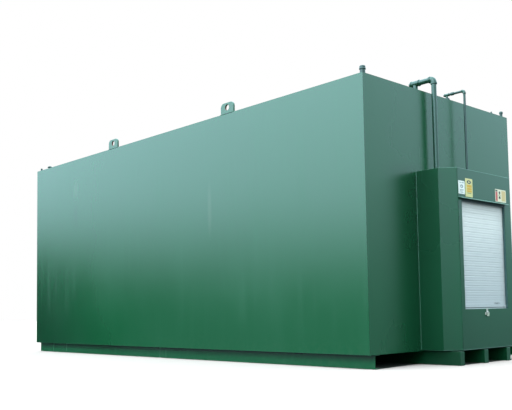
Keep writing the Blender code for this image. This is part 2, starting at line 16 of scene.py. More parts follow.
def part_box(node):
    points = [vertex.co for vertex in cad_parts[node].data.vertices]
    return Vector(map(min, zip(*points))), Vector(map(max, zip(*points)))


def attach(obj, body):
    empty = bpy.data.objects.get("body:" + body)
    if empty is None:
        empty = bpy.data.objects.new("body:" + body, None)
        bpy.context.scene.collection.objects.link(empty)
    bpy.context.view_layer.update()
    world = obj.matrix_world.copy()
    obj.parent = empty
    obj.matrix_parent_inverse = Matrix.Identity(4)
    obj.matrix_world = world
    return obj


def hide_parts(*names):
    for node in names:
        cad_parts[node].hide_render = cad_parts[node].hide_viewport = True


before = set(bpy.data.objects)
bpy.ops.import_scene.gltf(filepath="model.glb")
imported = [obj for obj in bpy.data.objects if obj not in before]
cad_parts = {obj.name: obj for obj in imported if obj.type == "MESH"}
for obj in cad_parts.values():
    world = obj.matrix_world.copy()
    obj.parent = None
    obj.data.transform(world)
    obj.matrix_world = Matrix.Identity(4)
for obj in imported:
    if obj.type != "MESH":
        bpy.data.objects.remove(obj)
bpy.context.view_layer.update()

# The axes of a place
X, Y, Z = 0, 1, 2

# Where the camera stands, how it is turned, its lens, how far the picture is moved sideways and
# up, and how far the camera sees
CAMERA_PLACE = (-7.6339, -8.4657, 0.6374)
CAMERA_TURN = (94.074, 1.035, -44.036)
CAMERA_LENS = 53.207
CAMERA_SHIFT = (-0.04588, 0.09948)
CAMERA_REACH = 200.0

# Tank shell, from the model's own plates
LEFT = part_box("left_wall")[0].x
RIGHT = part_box("right_wall")[1].x
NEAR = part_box("left_wall")[0].y
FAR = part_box("left_wall")[1].y
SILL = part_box("left_wall")[0].z
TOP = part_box("left_wall")[1].z

# How far a plate stands out between the frames behind it, how that fades at its edges, how the
# frames are spaced, the share of the bow left over a frame, how unevenly the plate was rolled, and
# the cells it is drawn in
PLATE_BOW = 0.0012
BOW_FADE = 0.20
FRAME_SPACING = 1.25
BOW_AT_FRAME = 0.35
BOW_LEAST = 0.4
BOW_RANGE = 1.2
BOW_WANDER = (0.55, 0.8)
PLATE_CELL = 0.12

# Weld beads: radius, length of one ripple, and its depth as a share of the radius
SEAM = (0.0050, 0.010, 0.05)
SHEET_SEAM = (0.0045, 0.008, 0.05)
FILLET = (0.0055, 0.006, 0.10)
RUNNER_FILLET = (0.0055, 0.012, 0.10)
FITTING_FILLET = (0.0040, 0.005, 0.10)
PIPE_FILLET = (0.0045, 0.005, 0.10)

# How far a bead's middle lies inside the edge of a plate or a sheet, and how far off a flat face
SEAM_INSET = 0.0045
SHEET_INSET = 0.0030
BEAD_LIFT = 0.001
SHEET_LIFT = 0.0005

# The weld between cabinet and tank: how far it stands off both, and how far up it starts
JOINT_LIFT = 0.0012
JOINT_FOOT = 0.004

# How many degrees faces turn before their shading breaks: on most pieces, plates, slats, pipes
# and weld beads
SHARP = 35.0
SHARP_PLATE = 30.0
SHARP_SLAT = 38.0
SHARP_PIPE = 40.0
SHARP_BEAD = 60.0

# Corners this close become one: in drawn plates and wires, and in the model's solids
DRAWN_GAP = 0.00001
SOLID_GAP = 0.00002

# How far edges are rounded: on sheets, the base plate, the runners, and bars and thick sheets
SHEET_EDGE = 0.0012
BASE_EDGE = 0.001
RUNNER_EDGE = 0.0025
BAR_EDGE = 0.0015

# Cabinet
CABINET_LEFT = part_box("cabinet_roof")[0].x
CABINET_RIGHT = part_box("cabinet_roof")[1].x
CABINET_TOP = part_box("cabinet_roof")[1].z
CABINET_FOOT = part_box("cabinet_floor")[0].z
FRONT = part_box("cabinet_front")[0].y
FRONT_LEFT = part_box("cabinet_front")[0].x
FRONT_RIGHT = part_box("cabinet_front")[1].x
FOLD_Y = FRONT + FRONT_LEFT - CABINET_LEFT

# Rain hood: its sheet at the lip and at the root
HOOD_SHEET = 0.0045
HOOD_ROOT = 0.006

# Roller shutter: how many slats, how far in front of the curtain's back they hang, how far one may
# lean, and over what heights the curtain greys, from its foot or its top, and how much
SLATS = 22
SLAT_SUNK = 0.004
SLAT_TILT = 0.006
HALF_GREY_FOOT = 0.495
HALF_GREY_TOP = 0.095
HALF_GREY = 0.52
LOW_GREY_FOOT = -0.055
LOW_GREY_TOP = 0.695
LOW_GREY = 0.26

# Painted shade at the opening's left side, beside the guide: how far in it is full, and where it ends
EDGE_SHADE_REACH = (0.010, 0.025)

# The black rub low on the curtain: its middle in from the opening's right side, behind the front
# and over the lowest slat's foot, and its reach
RUB_PLACE = (0.19, 0.03, 0.020)
RUB_REACH = (0.10, 0.30, 0.018)

# One slat: its share of the pitch, how far its back and its rolls stand out, the valley between
# the rolls and the groove at its hooks as shares of the rolls, the hooks' share of its height,
# and the points of its outline
SLAT_SHARE = 0.992
SLAT_BACK = 0.0015
SLAT_ROLL = 0.0030
SLAT_VALLEY = 0.55
SLAT_GROOVE = 0.35
SLAT_HOOK = 0.07
SLAT_STEPS = 20

# The curtain's bottom bar: the lip at its foot, the slot over the lip, and its rounded edges
BAR_LIP = 0.010
BAR_SLOT = 0.008
BAR_SLOT_DEPTH = 0.010
BAR_ROUND = 0.0018

# Hasp: its plate, narrow above and wide at its foot; its pin; and its rivets' heads and places
HASP_PLATE = 0.004
HASP_WIDTH = 0.036
HASP_ARM_HEIGHT = 0.034
HASP_CORNER = 0.006
HASP_EDGE = 0.0008
PIN_RADIUS = 0.004
PIN_EDGE = 0.001
PIN_SUNK = 0.002
HASP_RIVET = (0.0045, 0.0022)
HASP_RIVET_INSET = 0.012
HASP_RIVET_RISE = 0.008

# Padlock: its shackle's bend and wire and how deep it sits in the body, and the body's height and
# rounded edges
SHACKLE_RADIUS = 0.010
SHACKLE_WIRE = 0.0038
SHACKLE_SUNK = 0.004
LOCK_HEIGHT = 0.038
LOCK_EDGE = 0.0035

# Screwed pipe fittings: the body's radius between the collars, how long the collars are on the
# elbow and on the tee, the radius of the tee's branch, and the radius and length of its plug
LARGE_FITTING = (0.034, 0.022, 0.014, 0.030, 0.022, 0.024)
THIN_FITTING = (0.0170, 0.014, 0.008, 0.0140, 0.012, 0.014)

# The round band at a fitting's mouth and the step down behind it, the share of the collar that the
# mouth's flat middle takes, how far the ends of pipes and couplings are eased, the flats round a
# pipe, and the steps in an elbow
COLLAR_LIP = 0.0022
COLLAR_FOOT = 0.0008
MOUTH_SHARE = 0.6
FITTING_EDGE = 0.0015
COUPLING_EDGE = 0.003
PIPE_SIDES = 32
BEND_STEPS = 14

# The large pipe's stub and its pad, the taper on the thin pipe's boss, how far both are eased, and
# the flats round them
NOZZLE_PAD = 0.008
NOZZLE_RADIUS = 0.030
NOZZLE_EDGE = 0.0012
BOSS_TAPER = 0.012
BOSS_EDGE = 0.004
FOOT_SIDES = 48

# How far a roof fitting's foot lies inside its widest part
FOOT_INSET = {"right_corner_stub": 0.0055, "mushroom_vent": 0.026}

# Lifting lugs: round shoulders, the eye's radius, height and flats, and the eased edge
LUG_CORNER = 0.06
LUG_EYE_RADIUS = 0.0375
LUG_EYE_HEIGHT = 0.078
LUG_EYE_SIDES = 48
LUG_EDGE = 0.0025

# Where lifting and dragging have rubbed the paint off: this far out from an eye or off the ground
RUBBED = 0.0015

# Signs: corner and edge of a plate; depth, height and edge of its marks; its rivets
SIGN_CORNER = 0.008
SIGN_EDGE = 0.0005
MARK_DEPTH = 0.0008
MARK_PROUD = 0.0004
MARK_EDGE = 0.0001
SIGN_RIVET_INSET = 0.009
SIGN_RIVET = {"Head radius": 0.0032, "Head height": 0.0016}

# Paint, dirt and painted shade colours, as linear light, and the gloss paint's roughness
GREEN = (0.0015, 0.0690, 0.0225)
GREEN_FADED = (0.0060, 0.0800, 0.0310)
DARK_GREEN = (0.0050, 0.0270, 0.0180)
DARK_FADED = (0.0110, 0.0380, 0.0260)
DUST = (0.190, 0.220, 0.175)
RUST = (0.170, 0.058, 0.022)
DARK_RUST = (0.030, 0.012, 0.006)
# A darker green laid over the paint: low down, and as painted shade in the cabinet's corner and at the
# long wall's far foot
DARKENING_GREEN = (0.0012, 0.0300, 0.0110)
# A near-black green for painted shadow under the tank's edge and painted shade on the runners' sides
SHADE_GREEN = (0.0006, 0.0150, 0.0048)
GLOSS = 0.17

# Shutter coating: its two whites, where it is worn, the grime in its joints, the painted shade at its
# left edge, its grey towards the foot, the rub, and the painted shade in the bar's slot
SHUTTER_DULL = (0.800, 0.800, 0.800)
SHUTTER_BRIGHT = (0.860, 0.860, 0.860)
SHUTTER_WORN = (0.560, 0.590, 0.600)
JOINT_GRIME = (0.200, 0.225, 0.230)
EDGE_SHADE = (0.300, 0.440, 0.420)
CURTAIN_FOOT_GREY = (0.360, 0.395, 0.430)
RUB_BLACK = (0.060, 0.075, 0.085)
SLOT_SHADE = (0.012, 0.015, 0.016)

# Heights between which splashes and the darkening low down fade out, the reach, height and strength of
# the painted shade in the corner where the cabinet meets the tank, and the heights of the painted
# shadow under the tank's edge
SPLASH_HEIGHTS = (0.02, 0.42)
LOW_DARKENING_HEIGHTS = (0.14, 0.90)
CORNER_REACH = (0.10, 0.75)
CORNER_HEIGHTS = (CABINET_TOP - 0.10, CABINET_TOP + 0.15)
CORNER_SHADE_STRENGTH = 0.60
EDGE_SHADOW_HEIGHTS = (SILL - 0.110, SILL - 0.010)

# Marks and painted shade on the long wall, as middle, reach, strength and colour: painted shade at
# its far foot, a scuff, a pale patch over it, and a pale streak
WALL_MARKS_AND_SHADE = (
    ((LEFT, NEAR + 7.90, SILL), (0.50, 3.20, 1.80), 0.85, DARKENING_GREEN),
    ((LEFT, NEAR + 6.05, SILL + 2.08), (0.30, 0.05, 0.26), 0.55, DARK_GREEN),
    ((LEFT, NEAR + 6.05, SILL + 2.50), (0.30, 0.10, 0.22), 0.10, DUST),
    ((LEFT, NEAR + 2.60, SILL + 1.80), (0.30, 0.06, 0.45), 0.10, DUST),
)

# How patches are drawn out: down a wall as rain does, along a slat, or down a sign
DOWN_WALL = (1.0, 1.0, 0.09)
ALONG_SLAT = (0.04, 1.0, 1.0)
DOWN_SIGN = (1.0, 1.0, 0.12)


# Node trees

def add(tree, kind, settings=None, inputs=None):
    """Add one node, set its options, and fill its sockets from values or from other sockets."""
    item = tree.nodes.new(kind)
    for name, value in (settings or {}).items():
        setattr(item, name, value)
    for name, value in (inputs or {}).items():
        socket = item.inputs[name]
        if isinstance(value, bpy.types.NodeSocket):
            tree.links.new(value, socket)
        else:
            socket.default_value = value
    return item


def maths(tree, operation, first, second=0.0):
    """One operation on two numbers."""
    return add(tree, "ShaderNodeMath", {"operation": operation}, {0: first, 1: second}).outputs[0]


def vector_maths(tree, operation, first, second=(0.0, 0.0, 0.0), output="Vector"):
    """One operation on two vectors."""
    item = add(tree, "ShaderNodeVectorMath", {"operation": operation}, {0: first, 1: second})
    return item.outputs[output]


def product(tree, *shares):
    """Everything multiplied together."""
    result = shares[0]
    for share in shares[1:]:
        result = maths(tree, "MULTIPLY", result, share)
    return result


def total(tree, *parts):
    """Everything added together."""
    result = parts[0]
    for part in parts[1:]:
        result = maths(tree, "ADD", result, part)
    return result


def step(tree, value, low, high, bottom=0.0, top=1.0):
    """A soft step from bottom to top while the value goes from low to high."""
    inputs = {"Value": value, "From Min": low, "From Max": high, "To Min": bottom, "To Max": top}
    item = add(tree, "ShaderNodeMapRange", {"interpolation_type": "SMOOTHSTEP"}, inputs)
    return item.outputs["Result"]


def below(tree, value, low, high):
    """1 while the value is under low, fading to 0 at high."""
    return step(tree, value, low, high, 1.0, 0.0)


def mixed(tree, share, first, second):
    """A colour between two colours."""
    inputs = {0: share, 6: first, 7: second}
    return add(tree, "ShaderNodeMix", {"data_type": "RGBA"}, inputs).outputs[2]


def opaque(colour):
    """A colour with full cover."""
    return (*colour, 1.0)


def laid_over(tree, colour, overlay, *shares):
    """A colour with another over it, as strong as the shares multiplied."""
    return mixed(tree, product(tree, *shares), colour, opaque(overlay))


def mottle(tree, place, scale, detail=3.0, stretch=(1.0, 1.0, 1.0)):
    """Noise over the piece; a stretch below 1 draws it out along that axis."""
    moved = add(tree, "ShaderNodeMapping", inputs={"Vector": place, "Scale": stretch}).outputs[0]
    item = add(tree, "ShaderNodeTexNoise", inputs={"Vector": moved, "Scale": scale, "Detail": detail})
    return item.outputs[0]


def axis_of(tree, vector, axis):
    """One of a vector's three numbers."""
    return add(tree, "ShaderNodeSeparateXYZ", inputs={0: vector}).outputs[axis]


def spot(tree, place, centre, reach):
    """1 at the middle of a blurred oval round a point, 0 outside it."""
    away = vector_maths(tree, "SUBTRACT", place, centre)
    away = vector_maths(tree, "DIVIDE", away, reach)
    return below(tree, vector_maths(tree, "LENGTH", away, output="Value"), 0.2, 1.0)


# Finishes

def blank_material(name):
    """A new material with its tree, its shader and the place of each point on the tank."""
    material = bpy.data.materials.new(name)
    material.use_nodes = True
    tree = material.node_tree
    place = add(tree, "ShaderNodeTexCoord").outputs["Object"]
    return material, tree, tree.nodes["Principled BSDF"], place


def coat(tree, shader, colour, *roughness):
    """Give the shader its colour, and its roughness as a sum of parts."""
    tree.links.new(colour, shader.inputs["Base Color"])
    tree.links.new(total(tree, *roughness), shader.inputs["Roughness"])


def bump(tree, shader, grain, distance):
    """Fine relief, as deep as the distance where the grain goes from 0 to 1."""
    item = add(tree, "ShaderNodeBump", inputs={"Height": grain, "Distance": distance, "Strength": 1.0})
    tree.links.new(item.outputs[0], shader.inputs["Normal"])


def painted_corner_shade(tree, place, height):
    """Painted shade where the cabinet's side meets the tank, up to the cabinet's roof."""
    edge = add(tree, "ShaderNodeCombineXYZ", inputs={0: CABINET_LEFT, 1: NEAR, 2: height}).outputs[0]
    away = vector_maths(tree, "DISTANCE", place, edge, "Value")
    near_edge = below(tree, away, *CORNER_REACH)
    return product(tree, near_edge, below(tree, height, *CORNER_HEIGHTS), CORNER_SHADE_STRENGTH)


def rust_flecks(tree, place):
    """Flecks of rust here and there, and most of the surface where the paint is rubbed off."""
    worn = add(tree, "ShaderNodeAttribute", {"attribute_name": "wear"}).outputs["Fac"]
    flecks = product(tree, mottle(tree, place, 60.0, 6.0), 0.60)
    return step(tree, total(tree, product(tree, worn, 0.62), flecks), 0.74, 0.86)


def paint(name, fresh, faded, roughness, marks=False, low_darkening=0.10, streaking=0.30, shine=0.5,
          edge_shadow=0.0, sides=0.0):
    """Gloss paint on steel: drifts of tone, rain streaks, dust on top, splashes low down, rust.

    Low darkening darkens the paint low down, edge shadow paints shadow under the tank's edge, and
    sides paints shade on faces that look along the end wall.
    """
    material, tree, shader, place = blank_material(name)
    normal = add(tree, "ShaderNodeNewGeometry").outputs["Normal"]
    height = axis_of(tree, place, Z)

    drift = step(tree, mottle(tree, place, 0.8, 3.0), 0.30, 0.70)
    streaks = step(tree, mottle(tree, place, 9.0, 4.0, DOWN_WALL), 0.48, 0.78)
    colour = laid_over(tree, opaque(fresh), faded, drift, 0.45)
    colour = laid_over(tree, colour, faded, streaks, streaking)

    faces_up = step(tree, axis_of(tree, normal, Z), 0.55, 0.95)
    patches = step(tree, mottle(tree, place, 2.2, 7.0), 0.32, 0.68)
    dusty = product(tree, faces_up, total(tree, product(tree, patches, 0.24), 0.12))
    colour = laid_over(tree, colour, DUST, dusty)
    splashes = step(tree, mottle(tree, place, 14.0, 5.0), 0.40, 0.70)
    colour = laid_over(tree, colour, DUST, below(tree, height, *SPLASH_HEIGHTS), splashes, 0.03)
    # Darker towards the bottom
    colour = laid_over(tree, colour, DARKENING_GREEN, below(tree, height, *LOW_DARKENING_HEIGHTS), low_darkening)
    # Painted shade in the corner where the cabinet meets the tank
    colour = laid_over(tree, colour, DARKENING_GREEN, painted_corner_shade(tree, place, height))
    # Painted shadow under the tank's edge, and painted shade on faces that look along the end wall
    if edge_shadow or sides:
        faces_side = step(tree, maths(tree, "ABSOLUTE", axis_of(tree, normal, X)), 0.5, 0.9)
        under_edge = product(tree, step(tree, height, *EDGE_SHADOW_HEIGHTS), edge_shadow)
        edge_and_side_shade = maths(tree, "MAXIMUM", under_edge, product(tree, faces_side, sides))
        colour = laid_over(tree, colour, SHADE_GREEN, edge_and_side_shade)
    # The long wall's marks, and painted shade at its far foot
    if marks:
        for centre, reach, strength, overlay in WALL_MARKS_AND_SHADE:
            colour = laid_over(tree, colour, overlay, spot(tree, place, centre, reach), strength)

    rusty = rust_flecks(tree, place)
    rust = mixed(tree, mottle(tree, place, 130.0, 4.0), opaque(RUST), opaque(DARK_RUST))
    colour = mixed(tree, rusty, colour, rust)
    coat(tree, shader, colour, product(tree, drift, 0.03), roughness - 0.015,
         product(tree, streaks, 0.13 * streaking), product(tree, dusty, 0.70), product(tree, rusty, 0.45))

    peel = product(tree, mottle(tree, place, 420.0, 2.0), 0.12)
    swell = product(tree, mottle(tree, place, 5.0, 1.0), 0.25)
    rough_rust = product(tree, rusty, mottle(tree, place, 700.0, 3.0), 2.0)
    bump(tree, shader, total(tree, peel, swell, rough_rust), 0.0001)
    shader.inputs["Specular IOR Level"].default_value = shine
    return material


def shutter_finish(slat_foot, pitch):
    """White coated steel slats, with grime in the joints, painted shade at the left edge and in the bar's
    slot, greyer towards the foot, and a black rub low down.
    """
    material, tree, shader, place = blank_material("White shutter coating")
    height = axis_of(tree, place, Z)
    cloud = mottle(tree, place, 5.0, 4.0, (1.0, 1.0, 2.0))
    bands = mottle(tree, place, 14.0, 3.0, ALONG_SLAT)
    colour = mixed(tree, bands, opaque(SHUTTER_DULL), opaque(SHUTTER_BRIGHT))
    colour = laid_over(tree, colour, SHUTTER_WORN, step(tree, cloud, 0.45, 0.75), 0.20)

    phase = maths(tree, "DIVIDE", maths(tree, "SUBTRACT", height, slat_foot), pitch)
    from_joint = maths(tree, "PINGPONG", phase, 0.5)
    joint = product(tree, below(tree, from_joint, 0.0, 0.14), 0.10)
    valley = product(tree, step(tree, from_joint, 0.42, 0.50), 0.04)
    colour = laid_over(tree, colour, JOINT_GRIME, maths(tree, "MAXIMUM", joint, valley))
    # Painted shade down the curtain's left edge, beside the guide
    full, end = EDGE_SHADE_REACH
    left_edge = below(tree, axis_of(tree, place, X), OPENING_LEFT + full, OPENING_LEFT + end)
    colour = laid_over(tree, colour, EDGE_SHADE, left_edge, 0.30)
    # Greyer towards the curtain's foot
    foot = CURTAIN_LOW.z
    half_down = step(tree, height, foot + HALF_GREY_FOOT, CURTAIN_HIGH.z - HALF_GREY_TOP, HALF_GREY, 0.0)
    low_down = step(tree, height, foot + LOW_GREY_FOOT, foot + LOW_GREY_TOP, LOW_GREY, 0.0)
    colour = laid_over(tree, colour, CURTAIN_FOOT_GREY, total(tree, half_down, low_down))

    rub_place = (OPENING_RIGHT - RUB_PLACE[X], FRONT + RUB_PLACE[Y], slat_foot + RUB_PLACE[Z])
    rub = spot(tree, place, rub_place, RUB_REACH)
    broken = step(tree, mottle(tree, place, 40.0, 3.0), 0.30, 0.60)
    colour = laid_over(tree, colour, RUB_BLACK, rub, broken, 0.75)
    # Painted shade inside the bottom bar's slot
    slot_edge = 0.001
    slot_top = SLOT_FOOT + BAR_SLOT
    over_lip = step(tree, height, SLOT_FOOT, SLOT_FOOT + slot_edge)
    in_slot = product(tree, over_lip, below(tree, height, slot_top - slot_edge, slot_top))
    colour = laid_over(tree, colour, SLOT_SHADE, in_slot, 0.97)
    coat(tree, shader, colour, product(tree, cloud, 0.15), 0.40)
    bump(tree, shader, mottle(tree, place, 300.0, 2.0), 0.00003)
    return material


def metal(name, bright, dull, roughness, grain_scale):
    """Plated or worn metal with a worked grain and dull patches."""
    material, tree, shader, place = blank_material(name)
    patches = step(tree, mottle(tree, place, grain_scale, 4.0), 0.35, 0.65)
    colour = laid_over(tree, opaque(bright), dull, patches)
    coat(tree, shader, colour, product(tree, patches, 0.18), roughness)
    shader.inputs["Metallic"].default_value = 0.5
    bump(tree, shader, mottle(tree, place, grain_scale * 9, 3.0), 0.00004)
    return material


def sign_finish(name, colour, faded):
    """Printed sheet: a flat colour gone chalky in patches, under a thin clear film."""
    material, tree, shader, place = blank_material(name)
    chalk = step(tree, mottle(tree, place, 22.0, 4.0), 0.35, 0.70)
    streaks = step(tree, mottle(tree, place, 45.0, 3.0, DOWN_SIGN), 0.50, 0.75)
    shade = laid_over(tree, opaque(colour), faded, chalk, 0.35)
    shade = laid_over(tree, shade, faded, streaks, 0.20)
    coat(tree, shader, shade, product(tree, chalk, 0.15), 0.32)
    bump(tree, shader, mottle(tree, place, 500.0, 2.0), 0.00002)
    return material


# Meshes and finished pieces

def plain_mesh(obj):
    """The object's mesh with its modifiers applied and its place in the mesh; the object goes."""
    bpy.context.view_layer.update()
    evaluated = obj.evaluated_get(bpy.context.evaluated_depsgraph_get())
    mesh = bpy.data.meshes.new_from_object(evaluated)
    mesh.transform(obj.matrix_world)
    bpy.data.objects.remove(obj, do_unlink=True)
    return mesh


def held(name, data):
    """An object in the scene, before it is finished."""
    obj = bpy.data.objects.new(name, data)
    bpy.context.scene.collection.objects.link(obj)
    return obj


def finish_piece(name, mesh, material, slot, replaced=(), sharp=SHARP):
    """Put a finished mesh on the tank, with its flats shaded flat and its paint. The slot is not used."""
    mesh.shade_smooth()
    mesh.set_sharp_from_angle(angle=radians(sharp))
    shaded = held("shaded", mesh)
    flats = shaded.modifiers.new("Flats", "WEIGHTED_NORMAL")
    flats.keep_sharp = True
    mesh = plain_mesh(shaded)
    mesh.name = name
    mesh.materials.clear()
    mesh.materials.append(material)
    piece = held(name, mesh)
    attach(piece, "root")
    if replaced:
        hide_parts(*replaced)
    return piece


def cleaned(mesh):
    """A mesh with its loose corners welded and every face turned outwards."""
    solid = bmesh.new()
    solid.from_mesh(mesh)
    bmesh.ops.remove_doubles(solid, verts=solid.verts, dist=DRAWN_GAP)
    bmesh.ops.recalc_face_normals(solid, faces=solid.faces)
    solid.to_mesh(mesh)
    solid.free()
    return mesh


def mesh_from(solid, name):
    """A new mesh from a bmesh, which goes."""
    mesh = bpy.data.meshes.new(name)
    solid.to_mesh(mesh)
    solid.free()
    return mesh


def joined(meshes):
    """Several meshes in one."""
    solid = bmesh.new()
    for mesh in meshes:
        solid.from_mesh(mesh)
    return mesh_from(solid, "joined")


def mark_wear(mesh, measure):
    """Store how bare each corner of the mesh is rubbed, from 0 to 1."""
    attribute = mesh.attributes.new("wear", "FLOAT", "POINT")
    for vertex, value in zip(mesh.vertices, attribute.data):
        value.value = measure(vertex.co)


def bevelled(mesh, width, segments=2):
    """A mesh with its sharper edges rounded."""
    obj = held("bevelled", mesh)
    modifier = obj.modifiers.new("Rounded edges", "BEVEL")
    modifier.width = width
    modifier.segments = segments
    modifier.limit_method = "ANGLE"
    modifier.angle_limit = radians(25.0)
    return plain_mesh(obj)


def rounded_copy(node, width, segments=2):
    """A node's solid with welded corners, plain faces and rounded edges."""
    solid = bmesh.new()
    solid.from_mesh(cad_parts[node].data)
    bmesh.ops.remove_doubles(solid, verts=solid.verts, dist=SOLID_GAP)
    bmesh.ops.dissolve_limit(solid, angle_limit=radians(1.0), verts=solid.verts, edges=solid.edges)
    return bevelled(mesh_from(solid, node + "_rounded"), width, segments)


def rounded_block(low, high, width, segments):
    """A block between two corners, with rounded edges."""
    low = Vector(low)
    high = Vector(high)
    solid = bmesh.new()
    bmesh.ops.create_cube(solid, size=1.0)
    bmesh.ops.scale(solid, vec=high - low, verts=solid.verts)
    bmesh.ops.translate(solid, vec=(low + high) / 2, verts=solid.verts)
    return bevelled(mesh_from(solid, "block"), width, segments)


def arc(centre, radius, start, end, steps):
    """Points on an arc, from one angle to another, in degrees."""
    points = []
    for index in range(steps + 1):
        angle = radians(start + (end - start) * index / steps)
        points.append((centre[0] + radius * cos(angle), centre[1] + radius * sin(angle)))
    return points


def filleted(points, radius, closed=False, steps=4):
    """Round the corners of an outline, each by the radius or by what its sides leave room for."""
    points = [Vector(point) for point in points]
    result = []
    count = len(points)
    for index, corner in enumerate(points):
        if not closed and index in (0, count - 1):
            result.append(corner)
            continue
        before = points[index - 1] - corner
        after = points[(index + 1) % count] - corner
        reach = min(radius, before.length * 0.45, after.length * 0.45)
        start = corner + before.normalized() * reach
        end = corner + after.normalized() * reach
        for step_index in range(steps + 1):
            share = step_index / steps
            first = start.lerp(corner, share)
            second = corner.lerp(end, share)
            result.append(first.lerp(second, share))
    return result


def lofted(stations, sides=PIPE_SIDES):
    """A closed round body through stations of (middle, direction, radius)."""
    solid = bmesh.new()
    rings = []
    for middle, direction, radius in stations:
        middle = Vector(middle)
        if radius <= 0:
            rings.append([solid.verts.new(middle)])
            continue
        across = Vector((1, 0, 0)) if abs(direction[0]) < 0.9 else Vector((0, 1, 0))
        up = Vector(direction).normalized().cross(across).normalized()
        ring = []
        for side in range(sides):
            turn = tau * side / sides
            ring.append(solid.verts.new(middle + radius * (cos(turn) * across + sin(turn) * up)))
        rings.append(ring)
    for first, second in zip(rings, rings[1:]):
        for side in range(sides):
            following = (side + 1) % sides
            corners = [first[side % len(first)], first[following % len(first)],
                       second[following % len(second)], second[side % len(second)]]
            solid.faces.new(list(dict.fromkeys(corners)))
    for ring in (rings[0], rings[-1]):
        if len(ring) > 1:
            solid.faces.new(ring)
    bmesh.ops.recalc_face_normals(solid, faces=solid.faces)
    return mesh_from(solid, "lofted")


def turned(profile, middle, base, fillet=0.0, sides=PIPE_SIDES):
    """A round body on an upright axis from a profile of (radius, height), foot to crown."""
    points = filleted(profile, fillet) if fillet else [Vector(point) for point in profile]
    stations = [((middle[0], middle[1], base + point[1]), (0, 0, 1), point[0]) for point in points]
    return lofted(stations, sides)


def run_along_x(outline, x_start, x_end):
    """A closed outline of (y, z) points, run along x."""
    solid = bmesh.new()
    ends = []
    for x in (x_start, x_end):
        ends.append([solid.verts.new((x, point[0], point[1])) for point in outline])
    count = len(outline)
    for index in range(count):
        following = (index + 1) % count
        solid.faces.new([ends[0][index], ends[0][following], ends[1][following], ends[1][index]])
    solid.faces.new(ends[0])
    solid.faces.new(ends[1])
    bmesh.ops.recalc_face_normals(solid, faces=solid.faces)
    return mesh_from(solid, "run")


def cut_plate(outlines, depth, edge, place, turn):
    """A flat plate from an outline and its holes, with its edges eased."""
    curve = bpy.data.curves.new("plate", "CURVE")
    curve.dimensions = "2D"
    curve.fill_mode = "BOTH"
    curve.extrude = depth / 2 - edge
    curve.bevel_depth = edge
    curve.bevel_resolution = 2
    curve.offset = -edge
    for outline in outlines:
        spline = curve.splines.new("POLY")
        spline.points.add(len(outline) - 1)
        spline.use_cyclic_u = True
        for point, position in zip(spline.points, outline):
            point.co = (position[0], position[1], 0.0, 1.0)
    obj = held("plate", curve)
    obj.location = place
    obj.rotation_euler = turn
    return cleaned(plain_mesh(obj))


FACING_FRONT = (pi / 2, 0, 0)
FACING_SIDE = (pi / 2, 0, pi / 2)


# Weld beads, slats and rivets, grown by node trees

def open_tree(name, sizes):
    """A node tree that takes a geometry, named sizes and a finish, and gives a geometry."""
    tree = bpy.data.node_groups.new(name, "GeometryNodeTree")
    face = tree.interface
    face.new_socket(name="Geometry", in_out="INPUT", socket_type="NodeSocketGeometry")
    for label, kind in sizes.items():
        face.new_socket(name=label, in_out="INPUT", socket_type="NodeSocket" + kind)
    face.new_socket(name="Finish", in_out="INPUT", socket_type="NodeSocketMaterial")
    face.new_socket(name="Geometry", in_out="OUTPUT", socket_type="NodeSocketGeometry")
    return tree, tree.nodes.new("NodeGroupInput").outputs


def close_tree(tree, geometry, given):
    """End a tree: instances made real, shaded smooth, and given their finish."""
    real = add(tree, "GeometryNodeRealizeInstances", inputs={0: geometry}).outputs[0]
    smooth = add(tree, "GeometryNodeSetShadeSmooth", inputs={0: real}).outputs[0]
    finish = {0: smooth, "Material": given["Finish"]}
    coated = add(tree, "GeometryNodeSetMaterial", inputs=finish).outputs[0]
    tree.links.new(coated, tree.nodes.new("NodeGroupOutput").inputs[0])
    return tree


def random_share(tree, low, high, seed):
    """A number between two others, its own for each point."""
    inputs = {2: low, 3: high, "Seed": seed}
    return add(tree, "FunctionNodeRandomValue", {"data_type": "FLOAT"}, inputs).outputs[1]


def weld_bead_tree():
    """A rippled bead along each line of the mesh."""
    sizes = {"Bead radius": "Float", "Ripple length": "Float", "Ripple depth": "Float", "Seed": "Int"}
    tree, given = open_tree("Weld bead", sizes)
    line = add(tree, "GeometryNodeMeshToCurve", inputs={0: given["Geometry"]}).outputs[0]
    spaced = {"Curve": line, "Length": product(tree, given["Ripple length"], 0.5)}
    line = add(tree, "GeometryNodeResampleCurve", {"mode": "LENGTH"}, spaced).outputs[0]
    crest = maths(tree, "MODULO", add(tree, "GeometryNodeInputIndex").outputs[0], 2.0)
    crest = total(tree, crest, random_share(tree, -0.6, 0.6, given["Seed"]))
    swell = total(tree, product(tree, crest, given["Ripple depth"]), 0.95)
    round_section = add(tree, "GeometryNodeCurvePrimitiveCircle",
                        inputs={"Resolution": 8, "Radius": given["Bead radius"]}).outputs[0]
    sweep = {"Curve": line, "Profile Curve": round_section, "Scale": swell, "Fill Caps": True}
    bead = add(tree, "GeometryNodeCurveToMesh", inputs=sweep).outputs[0]
    return close_tree(tree, bead, given)


